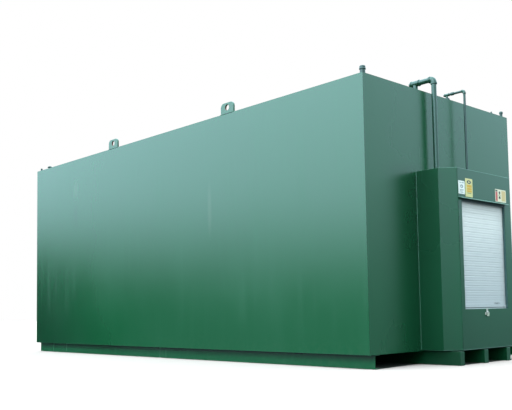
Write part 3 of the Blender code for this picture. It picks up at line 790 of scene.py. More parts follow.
def slat_stack_tree():
    """One slat repeated up the curtain, each hung a little out of true."""
    sizes = {"Slats": "Int", "Pitch": "Float", "Foot": "Vector", "Tilt": "Float", "Seed": "Int"}
    tree, given = open_tree("Slat stack", sizes)
    rise = add(tree, "ShaderNodeCombineXYZ", inputs={2: given["Pitch"]}).outputs[0]
    line = {"Count": given["Slats"], "Start Location": given["Foot"], "Offset": rise}
    points = add(tree, "GeometryNodeMeshLine", inputs=line).outputs[0]
    lean = product(tree, random_share(tree, -1.0, 1.0, given["Seed"]), given["Tilt"])
    angles = add(tree, "ShaderNodeCombineXYZ", inputs={0: lean}).outputs[0]
    turn = add(tree, "FunctionNodeEulerToRotation", inputs={0: angles}).outputs[0]
    place = {"Points": points, "Instance": given["Geometry"], "Rotation": turn}
    stack = add(tree, "GeometryNodeInstanceOnPoints", inputs=place).outputs[0]
    return close_tree(tree, stack, given)


def rivet_tree():
    """A low domed rivet head on each point of the mesh."""
    sizes = {"Head radius": "Float", "Head height": "Float"}
    tree, given = open_tree("Rivets", sizes)
    ball = add(tree, "GeometryNodeMeshUVSphere",
               inputs={"Segments": 12, "Rings": 8, "Radius": given["Head radius"]}).outputs[0]
    flat = maths(tree, "DIVIDE", given["Head height"], given["Head radius"])
    squeeze = add(tree, "ShaderNodeCombineXYZ", inputs={0: 1.0, 1: flat, 2: 1.0}).outputs[0]
    place = {"Points": given["Geometry"], "Instance": ball, "Scale": squeeze}
    heads = add(tree, "GeometryNodeInstanceOnPoints", inputs=place).outputs[0]
    return close_tree(tree, heads, given)


def grown(tree, mesh, sizes, material):
    """What a tree makes of a mesh, as a plain mesh."""
    obj = held("grown", mesh)
    modifier = obj.modifiers.new(tree.name, "NODES")
    modifier.node_group = tree
    values = dict(sizes, Finish=material)
    for item in tree.interface.items_tree:
        if item.in_out == "INPUT" and item.name in values:
            modifier[item.identifier] = values[item.name]
    return plain_mesh(obj)


def line_mesh(lines):
    """Lines of points as bare edges; a line that ends where it starts is closed."""
    mesh = bpy.data.meshes.new("lines")
    points = []
    edges = []
    for line in lines:
        line = [tuple(point) for point in line]
        first = len(points)
        closed = line[0] == line[-1]
        if closed:
            line = line[:-1]
        points += line
        edges += [(first + index, first + index + 1) for index in range(len(line) - 1)]
        if closed:
            edges.append((first + len(line) - 1, first))
    mesh.from_pydata(points, edges, [])
    return mesh


def weld(name, lines, bead, material, seed):
    """Weld beads along the lines, as one piece."""
    radius, ripple, depth = bead
    sizes = {"Bead radius": radius, "Ripple length": ripple, "Ripple depth": depth, "Seed": seed}
    mesh = grown(WELD_BEAD, line_mesh(lines), sizes, material)
    return finish_piece(name, mesh, material, "green_paint", sharp=SHARP_BEAD)


# Shell, runners and lugs

def plate_bow(along, up, length, height):
    """How far a plate stands out at a point: between its frames, and nowhere at its edges."""
    edge = min(along, length - along, up, height - up)
    share = max(0.0, min(1.0, edge / BOW_FADE))
    share = share * share * (3 - 2 * share)
    bays = max(1, round(length / FRAME_SPACING))
    between = sin(pi * along * bays / length) ** 2
    wander = Vector((along * BOW_WANDER[0], up * BOW_WANDER[1], length))
    uneven = BOW_LEAST + BOW_RANGE * (0.5 + 0.5 * noise.noise(wander))
    return PLATE_BOW * share * (BOW_AT_FRAME + (1 - BOW_AT_FRAME) * between) * uneven


def bowed_plate(name, node, along, up, across, outward, material):
    """A plate whose outer face stands out a little between the frames behind it.

    Along, up and across are the axes of its length, height and thickness.
    """
    low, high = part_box(node)
    size = high - low
    columns = round(size[along] / PLATE_CELL)
    rows = round(size[up] / PLATE_CELL)
    face = high[across] if outward > 0 else low[across]
    solid = bmesh.new()
    grid = []
    for row in range(rows + 1):
        line = []
        for column in range(columns + 1):
            sideways = size[along] * column / columns
            upwards = size[up] * row / rows
            point = Vector((0, 0, 0))
            point[along] = low[along] + sideways
            point[up] = low[up] + upwards
            point[across] = face + outward * plate_bow(sideways, upwards, size[along], size[up])
            line.append(solid.verts.new(point))
        grid.append(line)
    for first, second in zip(grid, grid[1:]):
        for column in range(columns):
            solid.faces.new([first[column], first[column + 1], second[column + 1], second[column]])
    solid.normal_update()
    solid.faces.ensure_lookup_table()
    if solid.faces[0].normal[across] * outward < 0:
        bmesh.ops.reverse_faces(solid, faces=solid.faces)
    obj = held(name, mesh_from(solid, name))
    wall = obj.modifiers.new("Plate", "SOLIDIFY")
    wall.thickness = size[across]
    wall.offset = -1.0
    return finish_piece(name, plain_mesh(obj), material, "green_paint", (node,), SHARP_PLATE)


def box_middle(node):
    """The middle of a node."""
    low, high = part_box(node)
    return (low + high) / 2


def box_radius(node):
    """Half of a node's width along x: the radius of a round one."""
    low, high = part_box(node)
    return (high.x - low.x) / 2


def make_shell():
    """The box's four walls and roof, each a little bowed, and its flat base."""
    bowed_plate("left_wall_plate", "left_wall", Y, Z, X, -1, GREEN_MARKED_AND_SHADED)
    bowed_plate("right_wall_plate", "right_wall", Y, Z, X, 1, GREEN_PAINT)
    bowed_plate("near_end_plate", "near_end_wall", X, Z, Y, -1, END_PAINT)
    bowed_plate("far_end_plate", "far_end_wall", X, Z, Y, 1, GREEN_PAINT)
    bowed_plate("roof_sheet", "roof_plate", Y, X, Z, 1, ROOF_PAINT)
    base = rounded_copy("base_plate", BASE_EDGE)
    finish_piece("base_sheet", base, GREEN_PAINT, "green_paint", ("base_plate",))


def shell_loop(z):
    """A closed line round the shell at a height, just inside its corners."""
    left = LEFT + SEAM_INSET
    right = RIGHT - SEAM_INSET
    near = NEAR + SEAM_INSET
    far = FAR - SEAM_INSET
    return [(left, near, z), (right, near, z), (right, far, z), (left, far, z), (left, near, z)]


def make_shell_seams():
    """Dressed seams along the twelve edges of the box."""
    weld("roof_seam", [shell_loop(TOP - SEAM_INSET)], SEAM, GREEN_PAINT, 3)
    weld("base_seam", [shell_loop(SILL + SEAM_INSET)], SEAM, GREEN_PAINT, 5)
    corners = shell_loop(0.0)[:4]
    lines = [[(x, y, SILL + BEAD_LIFT), (x, y, TOP - BEAD_LIFT)] for x, y, _ in corners]
    weld("corner_seams", lines, SEAM, GREEN_PAINT, 7)


def rubbed_foot(point):
    """Bare where a runner drags on the ground."""
    return 1.0 if point.z < RUBBED else 0.0


def rubbed_eye(middle_y, middle_z):
    """Bare where a shackle turns in a lug's eye."""
    def measure(point):
        away = sqrt((point.y - middle_y) ** 2 + (point.z - middle_z) ** 2)
        return 1.0 if away < LUG_EYE_RADIUS + RUBBED else 0.0
    return measure


def make_skids():
    """Runners, rubbed bare and rusting along the edge that drags on the ground."""
    for node in ("skid_left", "skid_right", "skid_centre_1", "skid_centre_2", "skid_centre_3"):
        mesh = rounded_copy(node, RUNNER_EDGE, 3)
        mark_wear(mesh, rubbed_foot)
        finish = SKID_PAINT if "centre" in node else LONG_SKID_PAINT
        finish_piece(node + "_runner", mesh, finish, "green_paint", (node,))
    end_gap = 0.01
    lines = []
    for node, side in (("skid_left", 0), ("skid_right", 1)):
        low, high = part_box(node)
        x = (low.x, high.x)[side]
        lines.append([(x, low.y + end_gap, SILL - BEAD_LIFT), (x, high.y - end_gap, SILL - BEAD_LIFT)])
    # Near-black seam paint: painted shade in the gap under the long walls' foot
    weld("runner_seams", lines, RUNNER_FILLET, SEAM_SHADE_PAINT, 11)


def lug_outline(half, height):
    """A lug from the side: square feet and two round shoulders."""
    rise = height - LUG_CORNER
    outline = [(-half, 0), (half, 0)]
    outline += arc((half - LUG_CORNER, rise), LUG_CORNER, 0, 90, 16)
    outline += arc((LUG_CORNER - half, rise), LUG_CORNER, 90, 180, 16)
    return outline


def make_lugs():
    """Lifting lugs with a bored eye, welded all round their feet."""
    eye = arc((0, LUG_EYE_HEIGHT), LUG_EYE_RADIUS, 360, 360 / LUG_EYE_SIDES, LUG_EYE_SIDES - 1)
    loops = []
    places = [(side, end) for side in ("left", "right") for end in ("near", "far")]
    for node in ["lifting_lug_%s_%s" % place for place in places]:
        low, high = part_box(node)
        middle = box_middle(node)
        outline = lug_outline((high.y - low.y) / 2, high.z - low.z)
        foot = (middle.x, middle.y, low.z)
        mesh = cut_plate([outline, eye], high.x - low.x, LUG_EDGE, foot, FACING_SIDE)
        mark_wear(mesh, rubbed_eye(middle.y, low.z + LUG_EYE_HEIGHT))
        finish_piece(node + "_plate", mesh, GREEN_PAINT, "green_paint", (node,))
        z = TOP + BEAD_LIFT
        loops.append([(low.x, low.y, z), (high.x, low.y, z), (high.x, high.y, z), (low.x, high.y, z),
                      (low.x, low.y, z)])
    weld("lug_welds", loops, FILLET, GREEN_PAINT, 13)


# Roof fittings and pipes

def post_profile(radius, height):
    """A plain post, or a stub under its cap."""
    return [(0, 0), (radius, 0), (radius, height), (0, height)]


def cap_profile(radius, height):
    """A screwed cap: a wide band, a narrower skirt and a low crown."""
    skirt = radius - 0.004
    return [(0, 0), (radius, 0), (radius, height * 0.30), (skirt, height * 0.36), (skirt, height * 0.80),
            (radius * 0.62, height * 0.97), (0, height)]


def capped_stub_profile(radius, height):
    """A stub with a wider cap, in one."""
    neck = radius - FOOT_INSET["right_corner_stub"]
    cap_foot = 0.055
    return [(0, 0), (neck, 0), (neck, cap_foot), (radius, cap_foot + 0.002), (radius, height - 0.010),
            (radius * 0.6, height), (0, height)]


def plug_profile(radius, height):
    """A plug: a round body under a narrower head."""
    head = radius * 0.72
    return [(0, 0), (radius, 0), (radius, height * 0.55), (head, height * 0.62), (head, height),
            (0, height)]


def vent_profile(radius, height):
    """A mushroom vent: a thin neck under a cap with a turned-down rim."""
    neck = radius - FOOT_INSET["mushroom_vent"]
    neck_top = 0.078
    lip = 0.074
    rim = 0.080
    shoulder = 0.088
    return [(0, 0), (neck, 0), (neck, neck_top), (radius - 0.004, lip), (radius, rim), (radius, shoulder),
            (radius * 0.55, height - 0.002), (0, height)]


def make_roof_fittings():
    """Capped stubs, a plug, a post and a mushroom vent on the roof, all turned."""
    kinds = (
        ("corner_stub", post_profile, 0.001),
        ("corner_stub_cap", cap_profile, 0.004),
        ("right_corner_stub", capped_stub_profile, 0.002),
        ("roof_plug", plug_profile, 0.0015),
        ("corner_post", post_profile, 0.003),
        ("mushroom_vent", vent_profile, 0.004),
    )
    rings = []
    for node, profile, fillet in kinds:
        low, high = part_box(node)
        middle = box_middle(node)
        radius = box_radius(node)
        mesh = turned(profile(radius, high.z - low.z), (middle.x, middle.y), low.z, fillet)
        finish_piece(node + "_turned", mesh, DARK_PAINT, "dark_green_fittings", (node,))
        if node != "corner_stub_cap":
            rings.append(ring_line(middle, radius - FOOT_INSET.get(node, 0), TOP + BEAD_LIFT))
    weld("fitting_welds", rings, FITTING_FILLET, DARK_PAINT, 17)


def ring_line(middle, radius, z):
    """A closed level ring."""
    points = [(*point, z) for point in arc((middle.x, middle.y), radius, 0, 360, 24)]
    points[-1] = points[0]
    return points


def mouth_band(collar, body, collar_length):
    """The rounded band at a fitting's mouth: places in from the mouth, each with its radius."""
    lip = COLLAR_LIP
    eased = collar - lip * 0.3
    return [(0, collar - lip), (lip * 0.4, eased), (lip, collar), (collar_length - lip, collar),
            (collar_length - lip * 0.4, eased), (collar_length, body + COLLAR_FOOT)]


def elbow(node, upright_y, level_z, body, collar_length):
    """A screwed elbow with rounded bands at both mouths."""
    low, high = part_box(node)
    x = box_middle(node).x
    collar = box_radius(node)
    bend = level_z - low.z - collar_length
    band = mouth_band(collar, body, collar_length)
    stations = [((x, upright_y, low.z), (0, 0, 1), collar * MOUTH_SHARE)]
    stations += [((x, upright_y, low.z + along), (0, 0, 1), radius) for along, radius in band]
    middle_y = upright_y + bend
    middle_z = level_z - bend
    for index in range(BEND_STEPS + 1):
        turn = pi / 2 * index / BEND_STEPS
        place = (x, middle_y - bend * cos(turn), middle_z + bend * sin(turn))
        stations.append((place, (0, sin(turn), cos(turn)), body))
    stations += [((x, high.y - along, level_z), (0, 1, 0), radius) for along, radius in reversed(band)]
    stations.append(((x, high.y, level_z), (0, 1, 0), collar * MOUTH_SHARE))
    return lofted(stations)


def tee(node, drop_y, level_z, body, collar_length, branch, plug_radius, plug_length):
    """A screwed tee: banded mouths on the level, a branch downwards, a plug in the far mouth."""
    low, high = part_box(node)
    x = box_middle(node).x
    collar = box_radius(node)
    band = mouth_band(collar, body, collar_length)
    far = high.y - plug_length
    edge = FITTING_EDGE
    line = [(low.y, collar * MOUTH_SHARE)]
    line += [(low.y + along, radius) for along, radius in band]
    line += [(far - along, radius) for along, radius in reversed(band)]
    line += [(far, plug_radius), (high.y - edge, plug_radius), (high.y, plug_radius - edge)]
    level = lofted([((x, y, level_z), (0, 1, 0), radius) for y, radius in line])
    upright = [(low.z, branch - edge), (low.z + edge, branch), (level_z, branch)]
    leg = lofted([((x, drop_y, z), (0, 0, 1), radius) for z, radius in upright])
    return joined([level, leg])


def straight_pipe(node, axis, edge=FITTING_EDGE):
    """A straight length of pipe, or a coupling, with its ends eased."""
    low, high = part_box(node)
    radius = box_radius(node)
    direction = Vector((0, 0, 0))
    direction[axis] = 1.0
    eased = [(0, radius - edge), (edge * 0.3, radius - edge * 0.3), (edge, radius)]
    length = high[axis] - low[axis]
    stations = []
    for along, size in eased + [(length - along, size) for along, size in reversed(eased)]:
        place = box_middle(node)
        place[axis] = low[axis] + along
        stations.append((place, direction, size))
    return lofted(stations)


def make_pipes():
    """Both pipe runs, from the cabinet's roof over the wall and down onto the tank."""
    kinds = (
        ("large", "large_nozzle", LARGE_FITTING, GREEN_PIPE, "green_paint"),
        ("thin", "thin_boss", THIN_FITTING, DARK_PAINT, "dark_green_fittings"),
    )
    for kind, foot, sizes, finish, slot in kinds:
        body, elbow_collar, tee_collar, branch, plug_radius, plug_length = sizes
        level_z = box_middle(kind + "_run").z
        front = elbow(kind + "_front_elbow", box_middle(kind + "_riser").y, level_z, body, elbow_collar)
        back = tee(kind + "_rear_tee", box_middle(foot).y, level_z, body, tee_collar, branch,
                   plug_radius, plug_length)
        for end, mesh, node in (("front", front, "_front_elbow"), ("rear", back, "_rear_tee")):
            name = "%s_%s_fitting" % (kind, end)
            finish_piece(name, mesh, GREEN_PIPE, "green_paint", (kind + node,), SHARP_PIPE)
        for part, axis in (("riser", Z), ("run", Y)):
            node = "%s_%s" % (kind, part)
            finish_piece(node + "_tube", straight_pipe(node, axis), finish, slot, (node,), SHARP_PIPE)
    node = "thin_coupling"
    sleeve = straight_pipe(node, Y, COUPLING_EDGE)
    finish_piece(node + "_sleeve", sleeve, DARK_PAINT, "dark_green_fittings", (node,), SHARP_PIPE)


def make_pipe_feet():
    """The stub and pad under the large pipe, the boss under the thin one, and their welds."""
    low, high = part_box("large_nozzle")
    middle = box_middle("large_nozzle")
    pad = box_radius("large_nozzle")
    height = high.z - low.z
    profile = [(0, 0), (pad, 0), (pad, NOZZLE_PAD), (NOZZLE_RADIUS, NOZZLE_PAD), (NOZZLE_RADIUS, height),
               (0, height)]
    mesh = turned(profile, (middle.x, middle.y), low.z, NOZZLE_EDGE, FOOT_SIDES)
    finish_piece("large_nozzle_stub", mesh, GREEN_PAINT, "green_paint", ("large_nozzle",))
    rings = [ring_line(middle, pad, TOP + BEAD_LIFT)]
    rings.append(ring_line(middle, NOZZLE_RADIUS, low.z + NOZZLE_PAD))

    low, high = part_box("thin_boss")
    middle = box_middle("thin_boss")
    radius = box_radius("thin_boss")
    height = high.z - low.z
    profile = [(0, 0), (radius, 0), (radius, height - BOSS_TAPER), (radius - BOSS_TAPER, height),
               (0, height)]
    mesh = turned(profile, (middle.x, middle.y), low.z, BOSS_EDGE, FOOT_SIDES)
    finish_piece("thin_boss_turned", mesh, DARK_PAINT, "dark_green_fittings", ("thin_boss",))
    rings.append(ring_line(middle, radius, TOP + BEAD_LIFT))
    for riser in ("large_riser", "thin_riser"):
        rings.append(ring_line(box_middle(riser), box_radius(riser), CABINET_TOP + SHEET_LIFT))
    weld("pipe_foot_welds", rings, PIPE_FILLET, GREEN_PAINT, 19)


# Cabinet, shutter and lock

def cabinet_plan(inset):
    """The cabinet's outline from above, moved inwards."""
    slant = inset * (sqrt(2) - 1)
    return [
        (CABINET_LEFT + inset, NEAR),
        (CABINET_LEFT + inset, FOLD_Y + slant),
        (FRONT_LEFT + slant, FRONT + inset),
        (FRONT_RIGHT - slant, FRONT + inset),
        (CABINET_RIGHT - inset, FOLD_Y + slant),
        (CABINET_RIGHT - inset, NEAR),
    ]


def make_cabinet():
    """Folded sheets with eased edges, welded to each other and to the tank."""
    for side in ("left_side", "right_side", "front", "roof", "floor"):
        node = "cabinet_" + side
        sheet = rounded_copy(node, SHEET_EDGE)
        finish_piece(node + "_sheet", sheet, CABINET_PAINT, "green_paint", (node,))
    # The shutter head's near-black paint is painted shade under the hood
    head = rounded_copy("shutter_head", BAR_EDGE)
    finish_piece("shutter_head_box", head, HEAD_SHADE_PAINT, "dark_green_fittings", ("shutter_head",))
    sill = rounded_copy("shutter_sill", BAR_EDGE)
    finish_piece("shutter_sill_bar", sill, CABINET_PAINT, "green_paint", ("shutter_sill",))

    left = CABINET_LEFT - JOINT_LIFT
    right = CABINET_RIGHT + JOINT_LIFT
    wall_y = NEAR - JOINT_LIFT
    roof_z = CABINET_TOP + JOINT_LIFT
    foot_z = CABINET_FOOT + JOINT_FOOT
    to_wall = [(left, wall_y, foot_z), (left, wall_y, roof_z), (right, wall_y, roof_z),
               (right, wall_y, foot_z)]
    # Pale weld paint: painted highlight along the cabinet's joint with the tank and round its roof
    weld("cabinet_wall_weld", [to_wall], FILLET, WELD_HIGHLIGHT_PAINT, 23)
    for name, z, finish, seed in (("top", CABINET_TOP - SHEET_INSET, WELD_HIGHLIGHT_PAINT, 29),
                                  ("foot", CABINET_FOOT + SHEET_INSET, CABINET_PAINT, 31)):
        rim = [(x, y, z) for x, y in cabinet_plan(SHEET_INSET)]
        weld("cabinet_%s_weld" % name, [rim], SHEET_SEAM, finish, seed)


def make_hood():
    """The sloping rain hood: thin sheet with a rounded nose."""
    low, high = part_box("rain_hood")
    outline = [(high.y, high.z), (high.y, high.z - HOOD_ROOT), (low.y, low.z),
               (low.y, low.z + HOOD_SHEET)]
    mesh = run_along_x(filleted(outline, BAR_EDGE, closed=True), low.x, high.x)
    # Pale green paint: a painted highlight along the hood's sloping top
    finish_piece("rain_hood_sheet", mesh, HOOD_HIGHLIGHT_PAINT, "green_paint", ("rain_hood",))


def slat_outline(pitch):
    """One slat from the side: two rolls with a valley between, and a hooked joint at each end."""
    top = pitch * SLAT_SHARE
    outline = []
    for index in range(SLAT_STEPS + 1):
        share = index / SLAT_STEPS
        roll = SLAT_VALLEY + (1 - SLAT_VALLEY) * abs(sin(tau * share)) ** 0.6
        hook = min(1.0, share / SLAT_HOOK, (1 - share) / SLAT_HOOK)
        depth = SLAT_GROOVE + (1 - SLAT_GROOVE) * hook ** 0.5
        outline.append((-SLAT_ROLL * roll * depth, share * top))
    return outline + [(SLAT_BACK, top), (SLAT_BACK, 0.0)]


def make_curtain():
    """The shutter's curtain, as separate slats hooked into each other."""
    low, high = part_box("shutter_curtain")
    pitch = (high.z - low.z) / SLATS
    slat = run_along_x(slat_outline(pitch), low.x, high.x)
    foot = (0.0, high.y - SLAT_SUNK, low.z)
    sizes = {"Slats": SLATS, "Pitch": pitch, "Foot": foot, "Tilt": SLAT_TILT, "Seed": 8}
    mesh = grown(SLAT_STACK, slat, sizes, SHUTTER_WHITE)
    finish_piece("curtain_slats", mesh, SHUTTER_WHITE, "white_shutter", ("shutter_curtain",), SHARP_SLAT)


def make_bottom_bar():
    """The curtain's bottom bar: a rolled section with a slot along its face, over a lip."""
    low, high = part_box("shutter_bottom_bar")
    slot_foot = low.z + BAR_LIP
    slot_top = slot_foot + BAR_SLOT
    slot_back = low.y + BAR_SLOT_DEPTH
    outline = [(high.y, low.z), (high.y, high.z), (low.y, high.z), (low.y, slot_top),
               (slot_back, slot_top), (slot_back, slot_foot), (low.y, slot_foot), (low.y, low.z)]
    mesh = run_along_x(filleted(outline, BAR_ROUND, closed=True), low.x, high.x)
    finish_piece("bottom_bar_section", mesh, SHUTTER_WHITE, "white_shutter", ("shutter_bottom_bar",))


def make_guides():
    """The channels that hold the curtain's edges."""
    for node in ("guide_left", "guide_right"):
        channel = rounded_copy(node, SHEET_EDGE)
        # Dark slate paint: painted shade inside the reveal beside the curtain
        finish_piece(node + "_channel", channel, GUIDE_SHADE_PAINT, "green_paint", (node,))


def wire(points, radius):
    """A round wire through the points, with closed ends."""
    curve = bpy.data.curves.new("wire", "CURVE")
    curve.dimensions = "3D"
    curve.bevel_depth = radius
    curve.bevel_resolution = 4
    curve.use_fill_caps = True
    spline = curve.splines.new("POLY")
    spline.points.add(len(points) - 1)
    for point, place in zip(spline.points, points):
        point.co = (*place, 1.0)
    return cleaned(plain_mesh(held("wire", curve)))


def domed(middle, radius, rise):
    """A low domed head that faces the front."""
    steps = 5
    stations = []
    for index in range(steps + 1):
        turn = pi / 2 * index / steps
        width = radius * cos(turn) if index < steps else 0.0
        stations.append(((middle[0], middle[1] - rise * sin(turn), middle[2]), (0, -1, 0), width))
    return lofted(stations, 16)


def make_hasp(bow_z):
    """The hasp: a plate wide at its foot, its rivets, and the pin that the padlock hangs on."""
    low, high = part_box("lock_hasp")
    middle = box_middle("lock_hasp").x
    arm_top = low.z + HASP_ARM_HEIGHT
    left = middle - HASP_WIDTH / 2
    right = middle + HASP_WIDTH / 2
    outline = [(low.x, low.z), (high.x, low.z), (high.x, arm_top), (right, arm_top), (right, high.z),
               (left, high.z), (left, arm_top), (low.x, arm_top)]
    outline = [tuple(point) for point in filleted(outline, HASP_CORNER, closed=True)]
    front = high.y - HASP_PLATE
    plate = cut_plate([outline], HASP_PLATE, HASP_EDGE, (0, (front + high.y) / 2, 0), FACING_FRONT)

    x = box_middle("padlock").x
    pin_z = bow_z + SHACKLE_RADIUS - SHACKLE_WIRE - PIN_RADIUS
    pin = [(front + PIN_SUNK, PIN_RADIUS), (low.y + PIN_EDGE, PIN_RADIUS), (low.y, PIN_RADIUS - PIN_EDGE)]
    pieces = [plate, lofted([((x, y, pin_z), (0, 1, 0), radius) for y, radius in pin], 20)]
    rivets = [(middle, high.z - HASP_RIVET_INSET), (middle, arm_top + HASP_RIVET_RISE),
              (low.x + HASP_RIVET_INSET, low.z + HASP_ARM_HEIGHT / 2)]
    for rivet_x, rivet_z in rivets:
        pieces.append(domed((rivet_x, front, rivet_z), *HASP_RIVET))
    finish_piece("hasp_and_pin", joined(pieces), ZINC, "zinc_plate", ("lock_hasp",))


def make_padlock(bow_z):
    """The padlock: a rounded block of a body, and a bow of round wire."""
    low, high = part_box("padlock")
    middle = box_middle("padlock")
    body_top = low.z + LOCK_HEIGHT
    body = rounded_block(low, (high.x, high.y, body_top), LOCK_EDGE, 4)
    finish_piece("padlock_body", body, BRASS, "brass", ("padlock",))
    foot = (middle.y, body_top - SHACKLE_SUNK)
    points = [(middle.x - SHACKLE_RADIUS, *foot)]
    points += [(middle.x - SHACKLE_RADIUS * cos(turn), middle.y, bow_z + SHACKLE_RADIUS * sin(turn))
               for turn in (pi * index / 16 for index in range(17))]
    points += [(middle.x + SHACKLE_RADIUS, *foot)]
    finish_piece("padlock_shackle", wire(points, SHACKLE_WIRE), ZINC, "zinc_plate")


def make_lock():
    """The hasp with its pin, and the padlock that hangs on it."""
    bow_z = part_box("padlock")[1].z - SHACKLE_RADIUS - SHACKLE_WIRE
    make_hasp(bow_z)
    make_padlock(bow_z)


# Signs

def sign_plate(name, node, material, slot, marks):
    """A sign plate with round corners, and generic marks that stand out from it by a hair."""
    low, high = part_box(node)
    outline = []
    for x, z, start in ((low.x + SIGN_CORNER, low.z + SIGN_CORNER, 180),
                        (high.x - SIGN_CORNER, low.z + SIGN_CORNER, 270),
                        (high.x - SIGN_CORNER, high.z - SIGN_CORNER, 0),
                        (low.x + SIGN_CORNER, high.z - SIGN_CORNER, 90)):
        outline += arc((x, z), SIGN_CORNER, start, start + 90, 6)
    plate = cut_plate([outline], high.y - low.y, SIGN_EDGE, (0, box_middle(node).y, 0), FACING_FRONT)
    finish_piece(name, plate, material, slot, (node,))
    place = (0, low.y - MARK_DEPTH / 2 + MARK_PROUD, 0)
    for index, (shape, finish) in enumerate(marks):
        outlines = shape(low.x, low.z, high.x - low.x, high.z - low.z)
        mark = cut_plate(outlines, MARK_DEPTH, MARK_EDGE, place, FACING_FRONT)
        finish_piece("%s_mark_%d" % (name, index + 1), mark, finish, slot)
    return [(x, low.y, z) for x in (low.x + SIGN_RIVET_INSET, high.x - SIGN_RIVET_INSET)
            for z in (low.z + SIGN_RIVET_INSET, high.z - SIGN_RIVET_INSET)]


def bar(left, right, bottom, top):
    """A mark that fills a share of the sign: its edges as shares of the width and height."""
    def outlines(x, z, width, height):
        return [[(x + across * width, z + up * height)
                 for across, up in ((left, bottom), (right, bottom), (right, top), (left, top))]]
    return outlines


def disc(across, up, radius_x, radius_z, hole=0.0):
    """A round or oval mark, with a hole where it is a ring."""
    turns = [tau * index / 32 for index in range(32)]

    def outlines(x, z, width, height):
        middle_x = x + across * width
        middle_z = z + up * height
        reach = [(radius_x * width * cos(turn), radius_z * height * sin(turn)) for turn in turns]
        rim = [(middle_x + right, middle_z + rise) for right, rise in reach]
        bore = [(middle_x + right * hole, middle_z + rise * hole) for right, rise in reversed(reach)]
        return [rim, bore] if hole else [rim]
    return outlines


def make_signs():
    """Three sign plates with plain generic bars, dots and rings."""
    grey = sign_finish("Sign grey", (0.180, 0.230, 0.260), (0.300, 0.350, 0.370))
    dark = sign_finish("Sign dark", (0.030, 0.034, 0.020), (0.080, 0.085, 0.060))
    amber = sign_finish("Sign amber", (0.640, 0.350, 0.008), (0.640, 0.420, 0.030))
    olive = sign_finish("Sign olive", (0.180, 0.190, 0.040), (0.260, 0.270, 0.100))
    red = sign_finish("Sign stripe red", (0.560, 0.080, 0.075), (0.580, 0.190, 0.170))
    sand = sign_finish("Sign sand", (0.640, 0.470, 0.200), (0.640, 0.520, 0.290))
    points = sign_plate("white_sign_plate", "sign_white", SIGN_WHITE, "white_sign", [
        (bar(0.14, 0.42, 0.84, 0.89), grey),
        (bar(0.52, 0.84, 0.84, 0.89), grey),
        (disc(0.50, 0.58, 0.21, 0.13, 0.45), grey),
        (bar(0.18, 0.82, 0.30, 0.34), grey),
        (bar(0.18, 0.66, 0.20, 0.24), grey),
        (bar(0.18, 0.74, 0.10, 0.14), grey),
    ])
    points += sign_plate("yellow_sign_plate", "sign_yellow", SIGN_YELLOW, "yellow_sign", [
        (disc(0.50, 0.81, 0.29, 0.095, 0.42), dark),
        (bar(0.22, 0.86, 0.52, 0.66), amber),
        (bar(0.22, 0.86, 0.38, 0.50), amber),
        (bar(0.22, 0.86, 0.26, 0.36), amber),
        (bar(0.24, 0.80, 0.19, 0.225), olive),
    ])
    points += sign_plate("red_sign_plate", "sign_red", SIGN_RED, "red_sign", [
        (bar(0.03, 0.21, 0.06, 0.80), red),
        (bar(0.03, 0.21, 0.82, 0.94), dark),
        (disc(0.40, 0.74, 0.075, 0.11), dark),
        (disc(0.40, 0.52, 0.085, 0.10, 0.55), olive),
        (disc(0.40, 0.34, 0.085, 0.10), dark),
        (bar(0.58, 0.95, 0.10, 0.92), sand),
    ])
    mesh = bpy.data.meshes.new("rivet points")
    mesh.from_pydata(points, [], [])
    heads = grown(RIVETS, mesh, SIGN_RIVET, ZINC)
    finish_piece("sign_rivets", heads, ZINC, "zinc_plate", sharp=SHARP_BEAD)


def opening_in(node):
    """The left and right sides of the hole in a flat front."""
    low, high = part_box(node)
    margin = 0.01
    inner = [vertex.co.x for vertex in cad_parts[node].data.vertices
             if low.x + margin < vertex.co.x < high.x - margin]
    return min(inner), max(inner)


# Light, as radiance: the ground's and the sky's, the glow on one side of the sky with its bearing
# and where it starts, and how much brighter the sky is overhead
GROUND_LIGHT = (0.319, 0.482, 0.550)
SKY_TINT = (0.593, 0.862, 1.000)
SKY_LEVEL = 1.530
GLOW_LEVEL = 3.244
GLOW_TOWARDS = -83.372
GLOW_START = 0.189
OVERHEAD = 2.643

# The bearing where the ground is darkest and the skyline highest, where each starts, how far the
# skyline rises, and the heights in degrees between which ground fades into sky
SHADE_TOWARDS = -24.847
SHADE_START = 0.968
HILL_START = 0.994
HILL_HEIGHT = 0.048
HORIZON_LOW = -0.073
HORIZON_HIGH = 9.444

# What matt surfaces get of this light, beside glossy ones
MATT_SHARE = (0.675, 0.563, 0.500)

# The studio's floor: its side, and its height just under the ground line
FLOOR_SIZE = 120.0
PALE_FLOOR_Z = -0.002

# Dark sheets of painted shade under the tank: how far inside its sides, its ends and its near left
# corner they stay. Under the cabinet: how far inside its sides and its front, and how far it reaches
# under the tank. Then the two heights.
SHADE_SHEET_INSET = 0.10
SHADE_SHEET_END_INSET = 0.02
SHADE_SHEET_CORNER_INSET = 0.01
CABINET_SHADE_SHEET_INSET = 0.12
CABINET_SHADE_SHEET_FRONT = 0.03
CABINET_SHADE_SHEET_BACK = 0.11
TANK_SHADE_SHEET_Z = -0.001
CABINET_SHADE_SHEET_Z = -0.0005


def towards(tree, direction, bearing):
    """How much a direction points towards a bearing: degrees from +y, positive towards +x."""
    aim = (sin(radians(bearing)), cos(radians(bearing)), 0.0)
    return vector_maths(tree, "DOT_PRODUCT", direction, aim, "Value")


def scaled(tree, colour, level):
    """A colour made brighter or darker."""
    inputs = {0: colour, "Scale": level}
    return add(tree, "ShaderNodeVectorMath", {"operation": "SCALE"}, inputs).outputs[0]


